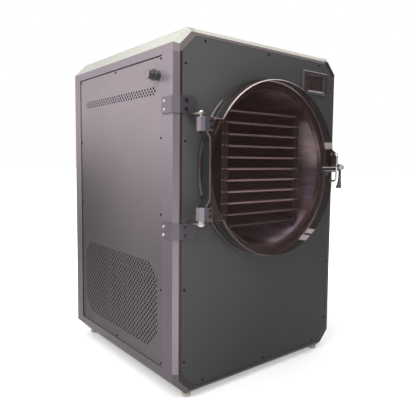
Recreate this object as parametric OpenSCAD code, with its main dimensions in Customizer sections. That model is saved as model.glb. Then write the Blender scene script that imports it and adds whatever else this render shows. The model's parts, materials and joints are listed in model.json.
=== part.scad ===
// Cabinet freeze dryer: framed sheet-metal cabinet, round vacuum chamber with a
// shelf rack, clear hinged door with a quarter-turn latch, refrigeration set below.
// Working coordinates: X to the right from the left side face, Y back from the
// front face, Z up from the underside of the frame. Millimetres.

/* [Cabinet] */
// Width over the side faces
cab_w = 540; // [530:2:570]
// Depth from the front face to the rear face
cab_d = 532; // [526:2:580]
// Height of the frame without its feet
cab_h = 800; // [796:2:850]
// Leg of the 45 degree chamfer on the four long edges
edge_chamfer = 36; // [30:1:40]
// Bevel all round the front and rear faces
face_bevel = 10.5; // [8:0.5:12]
// Height of the feet
foot_h = 12; // [8:1:20]
// Radius of the feet
foot_r = 10; // [8:0.5:12]

/* [Side vents] */
// Diameter of the vent holes
vent_d = 5.6; // [4:0.2:5.8]
// Columns of the lower vent, counted in half pitches
vent_cols = 59; // [21:2:59]
// Rows of the lower vent, counted in half pitches
vent_rows = 30; // [10:2:30]

/* [Chamber and door] */
// Height of the chamber axis above the underside of the frame
axis_z = 502; // [490:1:510]
// Inner radius of the chamber
chamber_r = 196; // [190:1:198]
// Depth of the chamber behind the front face
chamber_l = 430; // [405:5:440]
// Radius of the clear door disc
door_r = 208.5; // [205:0.5:210]
// Thickness of the clear door
door_t = 27; // [20:1:30]
// Inner radius of the gasket, the chamber mouth
mouth_r = 187; // [180:1:190]

/* [Rack] */
// Number of shelves
shelf_n = 11; // [5:2:11]
// Shelf pitch
shelf_p = 27; // [20:0.5:27]
// Depth of a shelf
shelf_l = 372; // [300:2:380]

/* [Fan] */
// Number of fan blades
blade_n = 5; // [3:1:7]
// Radius of the fan
fan_r = 68; // [50:1:70]

/* [Hidden] */
$fn = 96;

W = cab_w; D = cab_d; H = cab_h; b = face_bevel; c = edge_chamfer;
q = sqrt(2);
sf = 52;            // side face width of the front frame
sr = 47;            // side face width of the rear frame
cs = c + 18;        // size of a corner casting
wt = 6.5;           // frame wall
lip = b + 6.5;      // front face strip of the frame, up to the panel seam
et = c + 19.4;      // reach of an edge rail to the panel opening
dg = lip + cs;      // diagonal seam of the front panel at the corners
xc = W/2;           // chamber axis
zc = axis_z;
port_len = 28;      // reach of the vacuum port beyond the left face
pull_len = 66;      // reach of the pull handle in front of the front face
tail_len = 46;      // reach of the drain tail behind the rear face
ox = (W - port_len)/2;
oy = (D + tail_len - pull_len)/2;
gf = 18.7;          // front of the gasket, ahead of the front face
df = 46;            // front of the door, ahead of the front face
px = 40.2; py = -37; // hinge axis
hz1 = 580.5; hz2 = 610; // upper door bracket
hz3 = 393; hz4 = 421.5; // lower door bracket
lx = 488; lz = 505.7;   // latch spindle axis
vy = 70; vz = 703;      // vacuum port axis
fx = 47; fy = 22;       // foot centre from the corner
fanx = 66; fany = 199; fanz = 176;
drx = 270; drz = 90;    // drain outlet
dry = chamber_l - 62;   // drain of the chamber
keep_x = 515; keep_z = [518, 541]; // screws of the latch keeper
swx = 411; swz = 137;   // power switch
valve_y = D + 14;

module place() translate([-ox, -oy, foot_h]) children();
module alongy(x, z, y0, y1, r) translate([x, y0, z]) rotate([-90,0,0]) cylinder(r=r, h=y1-y0);
module alongx(y, z, x0, x1, r) translate([x0, y, z]) rotate([0,90,0]) cylinder(r=r, h=x1-x0);
module ringy(pts) translate([xc,0,zc]) rotate([-90,0,0]) rotate_extrude($fn=180) polygon(pts);
module mx() translate([W,0,0]) mirror([1,0,0]) children();
module my() translate([0,D,0]) mirror([0,1,0]) children();
module mz() translate([0,0,H]) mirror([0,0,1]) children();

// ---------- fastener places ----------
front_z = [78.5, 239.5, H-239.5, H-78];
front_x = [77, xc, W-77];
side_z = [62.5, 231, 400.5, 568, H-62.5];
side_y = [57.5, D-54];
function front_pts() = concat([for (z=front_z) [25.3,z]], [for (z=front_z) [W-25.3,z]],
   [for (x=front_x) [x,24.5]], [for (x=front_x) [x,H-24.5]]);
function side_pts() = concat([for (z=side_z) [side_y[0],z]], [for (z=side_z) [side_y[1],z]],
   [[D/2+2,62.5],[D/2+2,H-62.5]]);
module front_holes(r, y0, y1) for (p=front_pts()) alongy(p[0], p[1], y0, y1, r, $fn=20);
module side_holes(r, x0, x1) for (p=side_pts()) alongx(p[0], p[1], x0, x1, r, $fn=20);

// ---------- frame ----------
function post_sec(s) = [[0,b],[b,0],[lip,0],[lip,3.3],[32,3.3],[32,6.3],[14.2,6.3],[wt,14],
   [wt,s+14],[3.5,s+14],[3.5,s],[0,s]];
function edge_sec() = [[0,et],[0,c],[c,0],[et,0],[et,3.5],[et+14,3.5],[et+14,wt],
   [c+2.7,wt],[wt,c+2.7],[wt,et+14],[3.5,et+14],[3.5,et]];

module post(s) difference() {
  translate([0,0,cs]) linear_extrude(height=H-2*cs) polygon(post_sec(s));
  for (z=[cs-1, H-et-14.2]) translate([3,s,z]) cube([5,20,et+15.4-cs]);
}
module post_front(side) difference() { post(sf); front_holes(1.6,-1,20); side_holes(1.6,-1,20);
  if (side == 0) { bracket_holes(); alongx(vy,vz,-2,20,8.3,$fn=48); } }
module post_rear() difference() { post(sr);
  for (p=front_pts()) alongy(p[0],p[1],-1,20,1.6,$fn=20);
  for (p=side_pts()) alongx(D-p[0],p[1],-1,20,1.6,$fn=20); }
module rail(s) difference() {
  translate([cs,0,H]) rotate([0,90,0]) linear_extrude(height=W-2*cs) polygon(post_sec(s));
  for (x=[cs-1, W-et-14.2]) translate([x,s,H-8]) cube([et+15.4-cs,20,5]);
  for (p=front_pts()) alongy(p[0],p[1],-1,20,1.6,$fn=20);
}
ch_sec = [[0,c],[c,0],[c,4],[4,c]];  // chamfer strip of an edge rail, over the castings
module edge_rail() difference() {
  union() {
    translate([0,sf,H]) rotate([-90,0,0]) linear_extrude(height=D-sf-sr) polygon(edge_sec());
    translate([0,b+1,H]) rotate([-90,0,0]) linear_extrude(height=D-2*b-2) polygon(ch_sec);
  }
  side_holes(1.6,-1,20);
}
module casting(s, foot) difference() {
  cube([cs,s,cs]);
  rotate([90,0,0]) translate([0,0,-s-1]) linear_extrude(height=s+2) polygon([[-1,-1],[c+1,-1],[-1,c+1]]);
  translate([0,0,-1]) linear_extrude(height=cs+2) polygon([[-1,-1],[b+1,-1],[-1,b+1]]);
  translate([-1,0,0]) rotate([90,0,90]) linear_extrude(height=cs+2) polygon([[-1,-1],[b+1,-1],[-1,b+1]]);
  rotate([0,-45,0]) translate([0,0,-80]) linear_extrude(height=160)
    polygon([[-5,-1],[c/q+b+1,-1],[-5,c/q+b+5]]);
  rotate([0,-45,0]) translate([0,0,-80]) linear_extrude(height=160)
    polygon([[dg/q,-1],[120,-1],[120,3.3],[dg/q,3.3]]);
  intersection() {
    translate([wt,6.3,wt]) cube(80);
    rotate([0,-45,0]) translate([0,0,-90]) linear_extrude(height=180)
      polygon([[c/q+wt,0],[140,0],[140,120],[c/q+wt,120]]);
  }
  translate([0,b+1,0]) rotate([90,0,0]) mirror([0,0,1]) linear_extrude(height=s) polygon(ch_sec);
  if (foot) translate([fx,fy,-1]) cylinder(r=3, h=20, $fn=24);
}

module post_front_left() color([0.47,0.44,0.47]) place() post_front(0);
module post_front_right() color([0.47,0.44,0.47]) place() mx() post_front(1);
module posts_rear() color([0.47,0.44,0.47]) place() { my() post_rear(); mx() my() post_rear(); }
module rail_front_top() color([0.47,0.44,0.47]) place() rail(sf);
module rail_front_bottom() color([0.4,0.38,0.4]) place() mz() rail(sf);
module rail_rear_top() color([0.47,0.44,0.47]) place() my() rail(sr);
module rail_rear_bottom() color([0.4,0.38,0.4]) place() mz() my() rail(sr);
module edge_rail_top_left() color([0.8,0.81,0.78]) place() edge_rail();
module edge_rail_top_right() color([0.8,0.81,0.78]) place() mx() edge_rail();
module edge_rails_bottom() color([0.4,0.38,0.4]) place() { mz() edge_rail(); mx() mz() edge_rail(); }
module corner_castings() color([0.35,0.34,0.35]) place() {
  casting(sf,true); mx() casting(sf,true); my() casting(sr,true); mx() my() casting(sr,true);
  mz() casting(sf,false); mx() mz() casting(sf,false); mz() my() casting(sr,false); mx() mz() my() casting(sr,false);
}

// ---------- panels ----------
g = 0.5;            // seam between a panel and the frame
function oct(i, k) = [[i,k],[k,i],[W-k,i],[W-i,k],[W-i,H-k],[W-k,H-i],[k,H-i],[i,H-k]];
module face_plate() translate([0,3.2,0]) rotate([90,0,0]) linear_extrude(height=3) polygon(oct(lip+g, cs+g*0.41));
module front_panel() color([0.29,0.29,0.29]) place() difference() {
  face_plate();
  alongy(xc, zc, -1, 5, chamber_r+4.2, $fn=180);
  translate([407,-1,707]) cube([72,6,40]);
  front_holes(1.7,-1,5);
  bracket_holes();
  for (z=keep_z) alongy(keep_x, z, -1, 5, 1.6, $fn=20);
}
vp = 6.58; vr = 6.7;
module vents() {
  for (r=[0:vent_rows-1]) for (k=[(r%2):2:vent_cols-1])
    if (abs(k-(vent_cols-1)/2) + abs(r-(vent_rows-1)/2) < (vent_cols-1)/2 + (vent_rows-1)/2 - 4.6)
      translate([77.1 + k*vp, 89.1 + r*vr]) circle(d=vent_d, $fn=20);
  for (r=[0:2]) for (k=[(r==1?0:1):2:58]) translate([83 + k*6.2, H-134.5 + r*6.3]) circle(d=vent_d, $fn=20);
}
module side_sheet(vented) difference() {
  translate([2,0,0]) rotate([90,0,90]) linear_extrude(height=1.5) difference() {
    translate([sf+g+0.3, et+g]) square([D-sf-sr-2*g-0.3, H-2*et-2*g]);
    if (vented) vents();
    if (!vented) for (r=[0:7]) translate([150, 110+r*22]) { square([220,6]); translate([0,3]) circle(d=6,$fn=20); translate([220,3]) circle(d=6,$fn=20); }
    for (p=side_pts()) translate([p[0],p[1]]) circle(r=1.7,$fn=20);
    if (vented) translate([vy,vz]) circle(r=8.3,$fn=48);
  }
}
module left_panel() color([0.5,0.46,0.48]) place() side_sheet(true);
module right_panel() color([0.5,0.46,0.48]) place() mx() side_sheet(false);
module top_panel() color([0.55,0.53,0.54]) place()
  translate([et+g, sf+g, H-3.5]) cube([W-2*et-2*g, D-sf-sr-2*g, 1.5]);
module base_pan() color([0.6,0.6,0.62]) place() difference() {
  translate([c+4, 14.2, wt+0.1]) cube([W-2*c-8, D-28.4, 2]);
  for (x=[-1,W-cs-16]) for (y=[-1,D-cs-16]) translate([x,y,0]) cube([cs+17,cs+17,20]);
  for (x=[xc-60,xc,xc+60]) translate([x,D/2-90,0]) cylinder(r=14,h=20,$fn=48);
}
module rear_panel() color([0.42,0.41,0.42]) place() difference() {
  my() face_plate();
  my() front_holes(1.7,-1,5);
  translate([399,D-10,86]) cube([48,20,28]);
  translate([398,D-10,125]) cube([26,20,24]);
  alongy(drx, drz, D-10, D+2, 8.4, $fn=48);
  for (r=[0:9]) translate([110,D-10,230+r*20]) cube([150,20,6]);
  for (r=[0:9]) translate([280,D-10,230+r*20]) cube([150,20,6]);
}

// ---------- feet and screws ----------
module foot() rotate_extrude($fn=48) polygon([[0,-foot_h],[foot_r-1,-foot_h],[foot_r,-foot_h+1],[foot_r,-4],
   [foot_r-2,-2.6],[foot_r-2,0],[2.9,0],[2.9,14],[0,14]]);
module feet() color([0.85,0.83,0.76]) place()
  for (x=[fx,W-fx]) for (y=[fy,D-fy]) translate([x,y,0]) foot();
module round_long(r) difference() { translate([-r,0,-r]) cube([r+1,20,r+1]); translate([-r,-1,-r]) rotate([-90,0,0]) cylinder(r=r,h=22,$fn=48); }
module screw_y(head) difference() {
  union() { rotate([90,0,0]) translate([0,0,0]) cylinder(r=head, h=1.7, $fn=24);
            rotate([-90,0,0]) cylinder(r=1.5, h=6.2, $fn=20); }
  rotate([90,0,0]) translate([0,0,0.7]) cylinder(r=head*0.5, h=2, $fn=6);
}
module panel_screws() color([0.1,0.09,0.1]) place() {
  for (p=front_pts()) translate([p[0],0.2,p[1]]) screw_y(2.6);
  my() for (p=front_pts()) translate([p[0],0.2,p[1]]) screw_y(2.6);
  for (p=side_pts()) translate([2,p[0],p[1]]) rotate([0,0,-90]) screw_y(2.4);
  mx() for (p=side_pts()) translate([2,p[0],p[1]]) rotate([0,0,-90]) screw_y(2.4);
}

// ---------- hinges on the frame ----------
br_y = [24.7, 39];  // front screw X and side screw Y
br_z = [626.8, 645, 358.5, 376.5];
module bracket_holes() for (z=br_z) {
  alongy(br_y[0]+1, z, -8, 9, 2.1, $fn=24);
  alongx(br_y[1], z, -8, 9, 2.1, $fn=24);
}
module round_cut(z, r, up) translate([0,0,z]) mirror([0,0,up ? 0 : 1]) difference() {
  translate([-r,-5,-r]) cube([r+1,12,r+1]); translate([-r,-6,-r]) rotate([-90,0,0]) cylinder(r=r,h=14,$fn=48); }
module wrap(z0, z1) difference() {
  translate([0,0,z0]) linear_extrude(height=z1-z0)
    polygon([[0,50],[0,b],[b,0],[52,0],[52,-3],[b-1.243,-3],[-3,b-1.243],[-3,50]]);
  translate([52,0,0]) { round_cut(z1,5,true); round_cut(z0,5,false); }
  translate([0,50,0]) rotate([0,0,90]) { round_cut(z1,5,true); round_cut(z0,5,false); }
}
module arm(z0) translate([0,0,z0]) linear_extrude(height=4.5) difference() {
  union() { polygon([[30.5,0],[31.2,py],[px+9,py],[46.5,-6],[46.5,0]]); translate([px,py]) circle(r=9); }
  translate([px,py]) circle(r=4.05);
}
module hinge_bracket_upper() color([0.42,0.38,0.42]) place() difference() {
  union() { wrap(618.5,654.5); arm(614.2); }
  bracket_holes();
}
module hinge_bracket_lower() color([0.3,0.27,0.29]) place() difference() {
  union() { wrap(351.3,385.2); arm(385); }
  bracket_holes();
}
module cap_screw(r, l) { rotate([90,0,0]) difference() { cylinder(r=r*2, h=r*1.2, $fn=32); translate([0,0,r*0.5]) cylinder(r=r*0.85,h=r,$fn=6); }
  rotate([-90,0,0]) cylinder(r=r, h=l, $fn=24); }
module bracket_screws() color([0.12,0.11,0.12]) place() {
  for (z=br_z) {
    translate([br_y[0]+1,-3,z]) cap_screw(2, 9.2);
    translate([-3,br_y[1],z]) rotate([0,0,-90]) cap_screw(2, 9.4);
  }
  for (z=keep_z) translate([keep_x,-3,z]) cap_screw(1.5, 6.1);
}
module dome() rotate_extrude($fn=48) polygon(concat([[0,0],[7.2,0]], [for (a=[0:9:90]) [1.2+6*cos(a), 1.2+3.6*sin(a)]], [[0,4.8]]));
module hinge_pins() color([0.85,0.83,0.8]) place() {
  translate([px,py,0]) {
    translate([0,0,583]) cylinder(r=4,h=35.8,$fn=48); translate([0,0,618.7]) dome();
    translate([0,0,384.9]) cylinder(r=4,h=33.6,$fn=48); translate([0,0,385]) mirror([0,0,1]) dome();
    translate([0,0,389.5]) difference() { cylinder(r=6.3,h=3.3,$fn=48); translate([0,0,-1]) cylinder(r=3.9,h=6,$fn=48); }
  }
}

// ---------- chamber ----------
ch_e = 14;          // the chamber tube ends this far ahead of the front face
function arc(r, a0, a1, n) = [for (i=[0:n]) [r*cos(a0+(a1-a0)*i/n), r*sin(a0+(a1-a0)*i/n)]];
hr = 60;            // knuckle radius of the chamber's rear head
module chamber() color([0.62,0.6,0.61]) place() difference() {
  ringy(concat([[chamber_r,-ch_e],[chamber_r+2,-ch_e],[chamber_r+2,chamber_l-hr]],
    [for (p=arc(hr+2,0,90,10)) [chamber_r-hr+p[0], chamber_l-hr+p[1]]],
    [[0,chamber_l+2],[0,chamber_l]],
    [for (p=arc(hr,90,0,10)) [chamber_r-hr+p[0], chamber_l-hr+p[1]]]));
  translate([110,vy,zc]) cylinder(r=9,h=190,$fn=48);
  translate([drx,dry,zc-230]) cylinder(r=6,h=200,$fn=48);
}
module chamber_collar() color([0.16,0.12,0.12]) place()
  ringy([[chamber_r+2.1,0],[chamber_r+17,0],[chamber_r+17,-2.5],[chamber_r+15.5,-4],[chamber_r+14,-5],[chamber_r+13,-6.5],
    [chamber_r+13,-15],[chamber_r+12,-16],[chamber_r+2.1,-16]]);
module door_gasket() color([0.12,0.09,0.09]) place()
  ringy([[mouth_r+1.2,-gf],[chamber_r-3,-gf],[chamber_r-2,-gf+1.2],[chamber_r-0.5,-gf],[chamber_r+11.5,-gf],[chamber_r+11.5,-16.1],
    [chamber_r-0.2,-16.1],[chamber_r-0.2,-4],[chamber_r-3,-3],[mouth_r,-5.5],[mouth_r,-gf+1.2]]);
module latch_keeper() color([0.25,0.22,0.23]) place() difference() {
  translate([0,0,499.5]) linear_extrude(height=52) polygon([[499.5,-20],[528.5,-20],[530,-18.5],[530,0],[506,0],[506,-3],[526.7,-3],[526.7,-16.6],[499.5,-16.6]]);
  rotate([90,0,0]) translate([0,0,-5]) linear_extrude(height=40) polygon([[508,560],[508,551.5],[540,533.5],[540,560]]);
  translate([499.5,-30,551.5]) mirror([1,0,0]) round_long(4);
  translate([499.5,-30,499.5]) mirror([0,0,1]) mirror([1,0,0]) round_long(6);
  for (z=keep_z) alongy(keep_x, z, -8, 4, 1.6, $fn=20);
}

// ---------- rack ----------
sh = 113; ru = 134; // half width between the flanges, and over the rack
ry = 14;            // front of the rack
function shelf_z(i) = (i-(shelf_n-1)/2)*shelf_p;
rtop = (shelf_n-1)/2*shelf_p + 12;
module rack_side() {
  translate([xc,ry+1.6,zc]) rotate([90,0,0]) linear_extrude(height=1.6)
    polygon([[-sh,-rtop-4],[-sh,rtop],[-sh-6,rtop],[-ru,rtop-16],[-ru,-rtop+14],[-sh-4,-rtop-4]]);
  translate([xc-ru,ry,zc-rtop+14]) cube([1.5,shelf_l+2,2*rtop-30]);
  translate([xc-ru,ry+30,zc-sqrt(chamber_r*chamber_r-ru*ru)+0.3]) cube([1.5,shelf_l-40,20]);
}
module rack_side_left() color([0.14,0.11,0.11]) place() rack_side();
module rack_side_right() color([0.14,0.11,0.11]) place() mx() rack_side();
module rack_shelves() color([0.5,0.44,0.45]) place() for (i=[0:shelf_n-1]) translate([0,0,zc+shelf_z(i)]) {
  translate([xc-ru+1.7,ry+1.8,0]) cube([2*ru-3.4,shelf_l,1.6]);
  translate([xc-sh+0.3,ry-0.8,-3]) cube([2*sh-0.6,2.7,4.6]);
}
module rack_screws() color([0.6,0.56,0.56]) place() for (i=[0:shelf_n-1]) for (s=[-1,1]) for (x=[118.5,129])
  if (x < 125 || abs(shelf_z(i)) < 118)
    translate([xc+s*x,ry-0.05,zc+shelf_z(i)]) rotate([90,0,0]) cylinder(r=1.7,h=1.1,$fn=20);

// ---------- display ----------
dx0 = 391; dx1 = 491.5; dz0 = 696; dz1 = 757;
module dplate(i, y0, y1) translate([0,y1,0]) rotate([90,0,0]) linear_extrude(height=y1-y0)
  polygon([[dx0+i,dz0+4+i*0.6],[dx0+4+i*0.6,dz0+i],[dx1-4-i*0.6,dz0+i],[dx1-i,dz0+4+i*0.6],[dx1-i,dz1-i],[dx0+i,dz1-i]]);
module display_bezel() color([0.22,0.2,0.22]) place() difference() {
  hull() { dplate(0,-3,0.1); dplate(4,-8,-7.9); }
  hull() { translate([408,-8.5,702]) cube([70,0.1,46]); translate([412,-4.2,706.5]) cube([62,0.1,38]); }
  translate([412,-6,706.5]) cube([62,8,38]);
}
module display_screen() color([0.13,0.1,0.1]) place() {
  translate([412.2,-3.9,707.2]) cube([61.6,14,37.1]);
}

// ---------- vacuum port and line ----------
module port_fitting() color([0.2,0.19,0.2]) place() difference() {
  union() {
    alongx(vy,vz,-6.5,1.9,10.5,$fn=64); alongx(vy,vz,-24,-6.4,7,$fn=48);
    alongx(vy,vz,1.8,26,8,$fn=48); alongx(vy,vz,6.8,11,12,$fn=6);
  }
  alongx(vy,vz,-30,40,4.5,$fn=48);
}
module port_nut() color([0.3,0.28,0.28]) place() difference() {
  alongx(vy,vz,-13,-6.6,13.5,$fn=6); alongx(vy,vz,-20,3,7.05,$fn=48);
}
module port_cap() color([0.72,0.7,0.68]) place() difference() {
  union() { alongx(vy,vz,-port_len+2,-13.1,9,$fn=48); alongx(vy,vz,-port_len,-port_len+2.2,11,$fn=48); }
  alongx(vy,vz,-24.1,-10,7.1,$fn=48);
}
module vacuum_line() color([0.62,0.6,0.58]) place() difference() {
  union() { alongx(vy,vz,26.1,110,8,$fn=48); translate([110,vy,vz]) sphere(r=8,$fn=48);
    translate([110,vy,zc+sqrt(chamber_r*chamber_r-150*150)-12]) cylinder(r=8.8,h=vz-zc-sqrt(chamber_r*chamber_r-150*150)+12,$fn=48); }
  alongx(vy,vz,20,110,6.5,$fn=48); translate([110,vy,vz]) sphere(r=6.5,$fn=48);
  translate([110,vy,zc+60]) cylinder(r=6.5,h=vz-zc-60,$fn=48);
}

// ---------- evaporator ----------
ct = 7; cr = 204.6; cp = 31; cy0 = 112; nseg = 36; ns = 8; tr = 5;
function coil(i) = [xc + cr*cos(i*360/nseg), cy0 + cp*i/nseg, zc + cr*sin(i*360/nseg)];
function ringpt(i, j) = let (a=i*360/nseg, t=j*360/ns)
  [xc + (cr+tr*cos(t))*cos(a), cy0 + cp*i/nseg + tr*sin(t), zc + (cr+tr*cos(t))*sin(a)];
module evaporator_coil() color([0.72,0.42,0.25]) place()
  let (n=nseg*ct) polyhedron(
    points=concat([for (i=[0:n]) for (j=[0:ns-1]) ringpt(i,j)], [coil(0), coil(n)]),
    faces=concat([for (i=[0:n-1]) for (j=[0:ns-1]) each [[i*ns+j, (i+1)*ns+j, (i+1)*ns+(j+1)%ns], [i*ns+j, (i+1)*ns+(j+1)%ns, i*ns+(j+1)%ns]]],
      [for (j=[0:ns-1]) [(n+1)*ns, j, (j+1)%ns]], [for (j=[0:ns-1]) [(n+1)*ns+1, n*ns+(j+1)%ns, n*ns+j]]));
module insulation_jacket() color([0.2,0.2,0.2]) place()
  ringy([[chamber_r+15,105],[chamber_r+31,105],[chamber_r+31,342],[chamber_r+15,342]]);

// ---------- refrigeration set ----------
module compressor() color([0.1,0.1,0.1]) place() translate([372,345,wt+2.2]) {
  translate([0,0,22]) rotate_extrude($fn=96) polygon(concat([[0,0],[60,0]], [for (p=arc(25,-90,0,6)) [59+p[0],25+p[1]]],
    [[84,82],[87,82],[87,88],[84,88]], [for (p=arc(50,0,90,8)) [34+p[0],108+p[1]]], [[0,158]]));
  translate([-90,-60,12]) cube([180,120,4]);
  for (x=[-75,75]) for (y=[-45,45]) translate([x,y,0]) cylinder(r=11,h=12,$fn=48);
  translate([0,0,16]) cylinder(r=50,h=6.1,$fn=64);
  translate([-40,0,170]) cylinder(r=5,h=24,$fn=32);
}
cdy0 = 62; cdy1 = 322; cdz0 = 100; cdz1 = 250;
module condenser_fins() color([0.42,0.32,0.3]) place() translate([14,0,cdz0]) linear_extrude(height=cdz1-cdz0) {
  translate([14,cdy0]) square([6,cdy1-cdy0]);
  for (k=[0:37]) translate([0,cdy0+k*7]) square([34,1]);
}
module condenser_frame() color([0.7,0.7,0.72]) place() {
  translate([11,cdy1+0.2,cdz0-2]) cube([40,14,cdz1-cdz0+8]);
  translate([11,cdy0-4,cdz0-2]) cube([40,3.8,cdz1-cdz0+8]);
  translate([11,cdy0-0.2,cdz1+0.2]) cube([40,cdy1-cdy0+0.5,5.8]);
  translate([c+4.5,cdy0-4,wt+2.2]) cube([14.5-c+32,cdy1-cdy0+18.2,cdz0-wt-4.3]);
}
module fan_shroud() color([0.25,0.25,0.26]) place() difference() {
  translate([53,cdy0+20,wt+2.2]) cube([50,234,cdz1-wt+2]);
  translate([55,cdy0+22,wt+4.2]) cube([9,230,cdz1-wt-2]);
  alongx(fany,fanz,50,120,fan_r+3,$fn=96);
  translate([66,cdy0+10,wt]) cube([60,290,fanz-wt-fan_r-8]);
  translate([66,cdy0+10,wt+1]) cube([60,fany-fan_r-14-cdy0,300]);
  translate([66,fany+fan_r+6,wt+1]) cube([60,100,300]);
}
module fan_motor() color([0.3,0.3,0.32]) place() difference() {
  union() { alongx(fany,fanz,104,140,24,$fn=64);
    translate([112,fany-20,wt+2.2]) cube([20,40,fanz-wt-10]); }
  alongx(fany,fanz,100,125,3.05,$fn=48);
}
module fan_rotor() color([0.12,0.12,0.12]) place() {
  alongx(fany,fanz,fanx+4,fanx+30,22,$fn=64);
  alongx(fany,fanz,fanx+20,122,3,$fn=48);
  for (k=[0:blade_n-1]) translate([fanx+17,fany,fanz]) rotate([k*360/blade_n,0,0])
    translate([0,0,18]) rotate([0,0,32]) translate([-1,-20,0]) cube([2,40,fan_r-20.5]);
}
module control_box() color([0.75,0.75,0.76]) place() {
  translate([335,70,wt+2.2]) cube([160,120,104]);
  translate([334,69,wt+106.2]) cube([162,122,4]);
  for (x=[340,490]) translate([x,130,wt+110.1]) cylinder(r=3,h=1.6,$fn=24);
}

// ---------- rear services ----------
module power_inlet() color([0.07,0.07,0.07]) place() difference() {
  union() { translate([399.3,D-20,86.3]) cube([47.4,20.5,27.4]); translate([394,D-0.1,82]) cube([58,3,72]);
    translate([398.6,D-20,125.6]) cube([24.8,20,22.8]); }
  translate([405,D-14,90]) cube([36,20,20]);
  translate([swx-10.8,D-18,swz-9.9]) cube([21.6,30,19.8]);
}
module inlet_pins() color([0.8,0.78,0.7]) place()
  for (x=[414,423,432]) translate([x-1,D-13.9,x==423?103:97]) cube([2,11,5]);
module power_switch() color([0.5,0.08,0.08]) place() translate([swx,D-7,swz]) rotate([-9,0,0]) intersection() {
  rotate([0,90,0]) cylinder(r=12.4,h=20.8,center=true,$fn=64);
  translate([-10.4,-1,-7.8]) cube([20.8,14,15.6]);
}
module drain_line() color([0.75,0.73,0.7]) place() difference() {
  union() {
    translate([drx,dry,drz]) cylinder(r=8,h=zc-chamber_r-drz-2.05,$fn=48);
    translate([drx,dry,drz]) sphere(r=8,$fn=48);
    alongy(drx,drz,dry,D+0.5,8,$fn=48);
  }
  translate([drx,dry,drz]) cylinder(r=6,h=300,$fn=48);
  translate([drx,dry,drz]) sphere(r=6,$fn=48);
  alongy(drx,drz,dry,D+4,6,$fn=48);
}
module drain_valve() color([0.78,0.66,0.38]) place() difference() {
  union() {
    alongy(drx,drz,D+0.6,D+24,11,$fn=64); alongy(drx,drz,D+1,D+7,14,$fn=6); alongy(drx,drz,D+19,D+25,14,$fn=6);
    translate([drx,valve_y,drz]) cylinder(r=6,h=18,$fn=48);
    alongy(drx,drz,D+24,D+tail_len,6,$fn=48);
    alongy(drx,drz,D+24,D+27,7.5,$fn=48);
  }
  alongy(drx,drz,D,D+tail_len+1,4,$fn=48);
  translate([drx,valve_y,drz+8]) cylinder(r=3.05,h=20,$fn=48);
}
module drain_lever() color([0.75,0.1,0.08]) place() {
  translate([drx,valve_y,drz+9]) cylinder(r=3,h=12,$fn=48);
  translate([drx,valve_y,drz+18.4]) cylinder(r=8,h=3,$fn=48);
  translate([drx,valve_y-5,drz+18.4]) cube([44,10,3]);
  translate([drx+44,valve_y,drz+18.4]) cylinder(r=5,h=3,$fn=48);
}

// ---------- door ----------
ez1 = 609.5; ez2 = 391;
flat_x = 472;       // flat on the latch side of the disc
module door_panel() color([0.75,0.8,0.78,0.35]) place() difference() {
  translate([0,-df+door_t,0]) rotate([90,0,0]) linear_extrude(height=door_t) difference() {
    union() {
      translate([xc,zc]) circle(r=door_r,$fn=180);
      polygon([[47,ez2],[112,ez2],[112,ez1],[47,ez1],[47,578.5],[56,566.5],[56,437],[47,425]]);
    }
    translate([flat_x,zc-100]) square([60,200]);
  }
  for (z=[588.5,601.5,402.5,415]) alongy(57.5, z, -df-5, 0, 2.6, $fn=24);
}
module dbracket(z0, z1) difference() {
  translate([0,0,z0]) linear_extrude(height=z1-z0) difference() {
    polygon([[33.5,-28],[33.5,-42.2],[40.3,-49],[62.2,-49],[62.2,-df-0.1],[46.8,-df-0.1],[46.8,-28]]);
    translate([px,py]) circle(r=4.05,$fn=96);
  }
  for (z=[588.5,601.5,402.5,415]) alongy(57.5, z, -52, -40, 2.6, $fn=24);
}
module door_bracket_upper() color([0.45,0.41,0.44]) place() dbracket(hz1,hz2);
module door_bracket_lower() color([0.45,0.41,0.44]) place() dbracket(hz3,hz4);
module door_screws() color([0.12,0.11,0.12]) place() for (z=[588.5,601.5,402.5,415]) {
  translate([57.5,-49,z]) rotate([90,0,0]) difference() { cylinder(r=4.2,h=2.6,$fn=32); translate([0,0,1.2]) cylinder(r=2,h=3,$fn=6); }
  alongy(57.5,z,-49,-df+door_t+4,2.5,$fn=24);
  alongy(57.5,z,-df+door_t+0.1,-df+door_t+4.1,4.6,$fn=6);
}
hx = 464; h0 = 470.5; h1 = 540.5; hr2 = 2.5; hb = 9;
module pull_handle() color([0.85,0.83,0.83]) place() {
  for (z=[h0,h1]) { alongy(hx,z,-pull_len+hr2+hb,-df-0.1,hr2,$fn=48); alongy(hx,z,-df-2,-df-0.1,4.6,$fn=48); }
  translate([hx,-pull_len+hr2,h0+hb]) cylinder(r=hr2,h=h1-h0-2*hb,$fn=48);
  translate([hx,-pull_len+hr2+hb,h0+hb]) rotate([0,90,0]) rotate_extrude(angle=-90,$fn=64) translate([hb,0]) circle(r=hr2,$fn=48);
  translate([hx,-pull_len+hr2+hb,h1-hb]) mirror([0,0,1]) rotate([0,90,0]) rotate_extrude(angle=-90,$fn=64) translate([hb,0]) circle(r=hr2,$fn=48);
}
module latch_body() color([0.83,0.8,0.8]) place() difference() {
  union() {
    translate([422,-df-2.9,493.5]) cube([68,2.8,15.5]);
    alongx(-df-4.6,lz,422,lx,2.2,$fn=40);
    alongx(-df-4,497.2,434,lx+3,1.5,$fn=32);
    alongy(lx,lz,-54.6,-df-0.1,8.5,$fn=64);
  }
  alongy(lx,lz,-70,-30,5.05,$fn=64);
}
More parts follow.
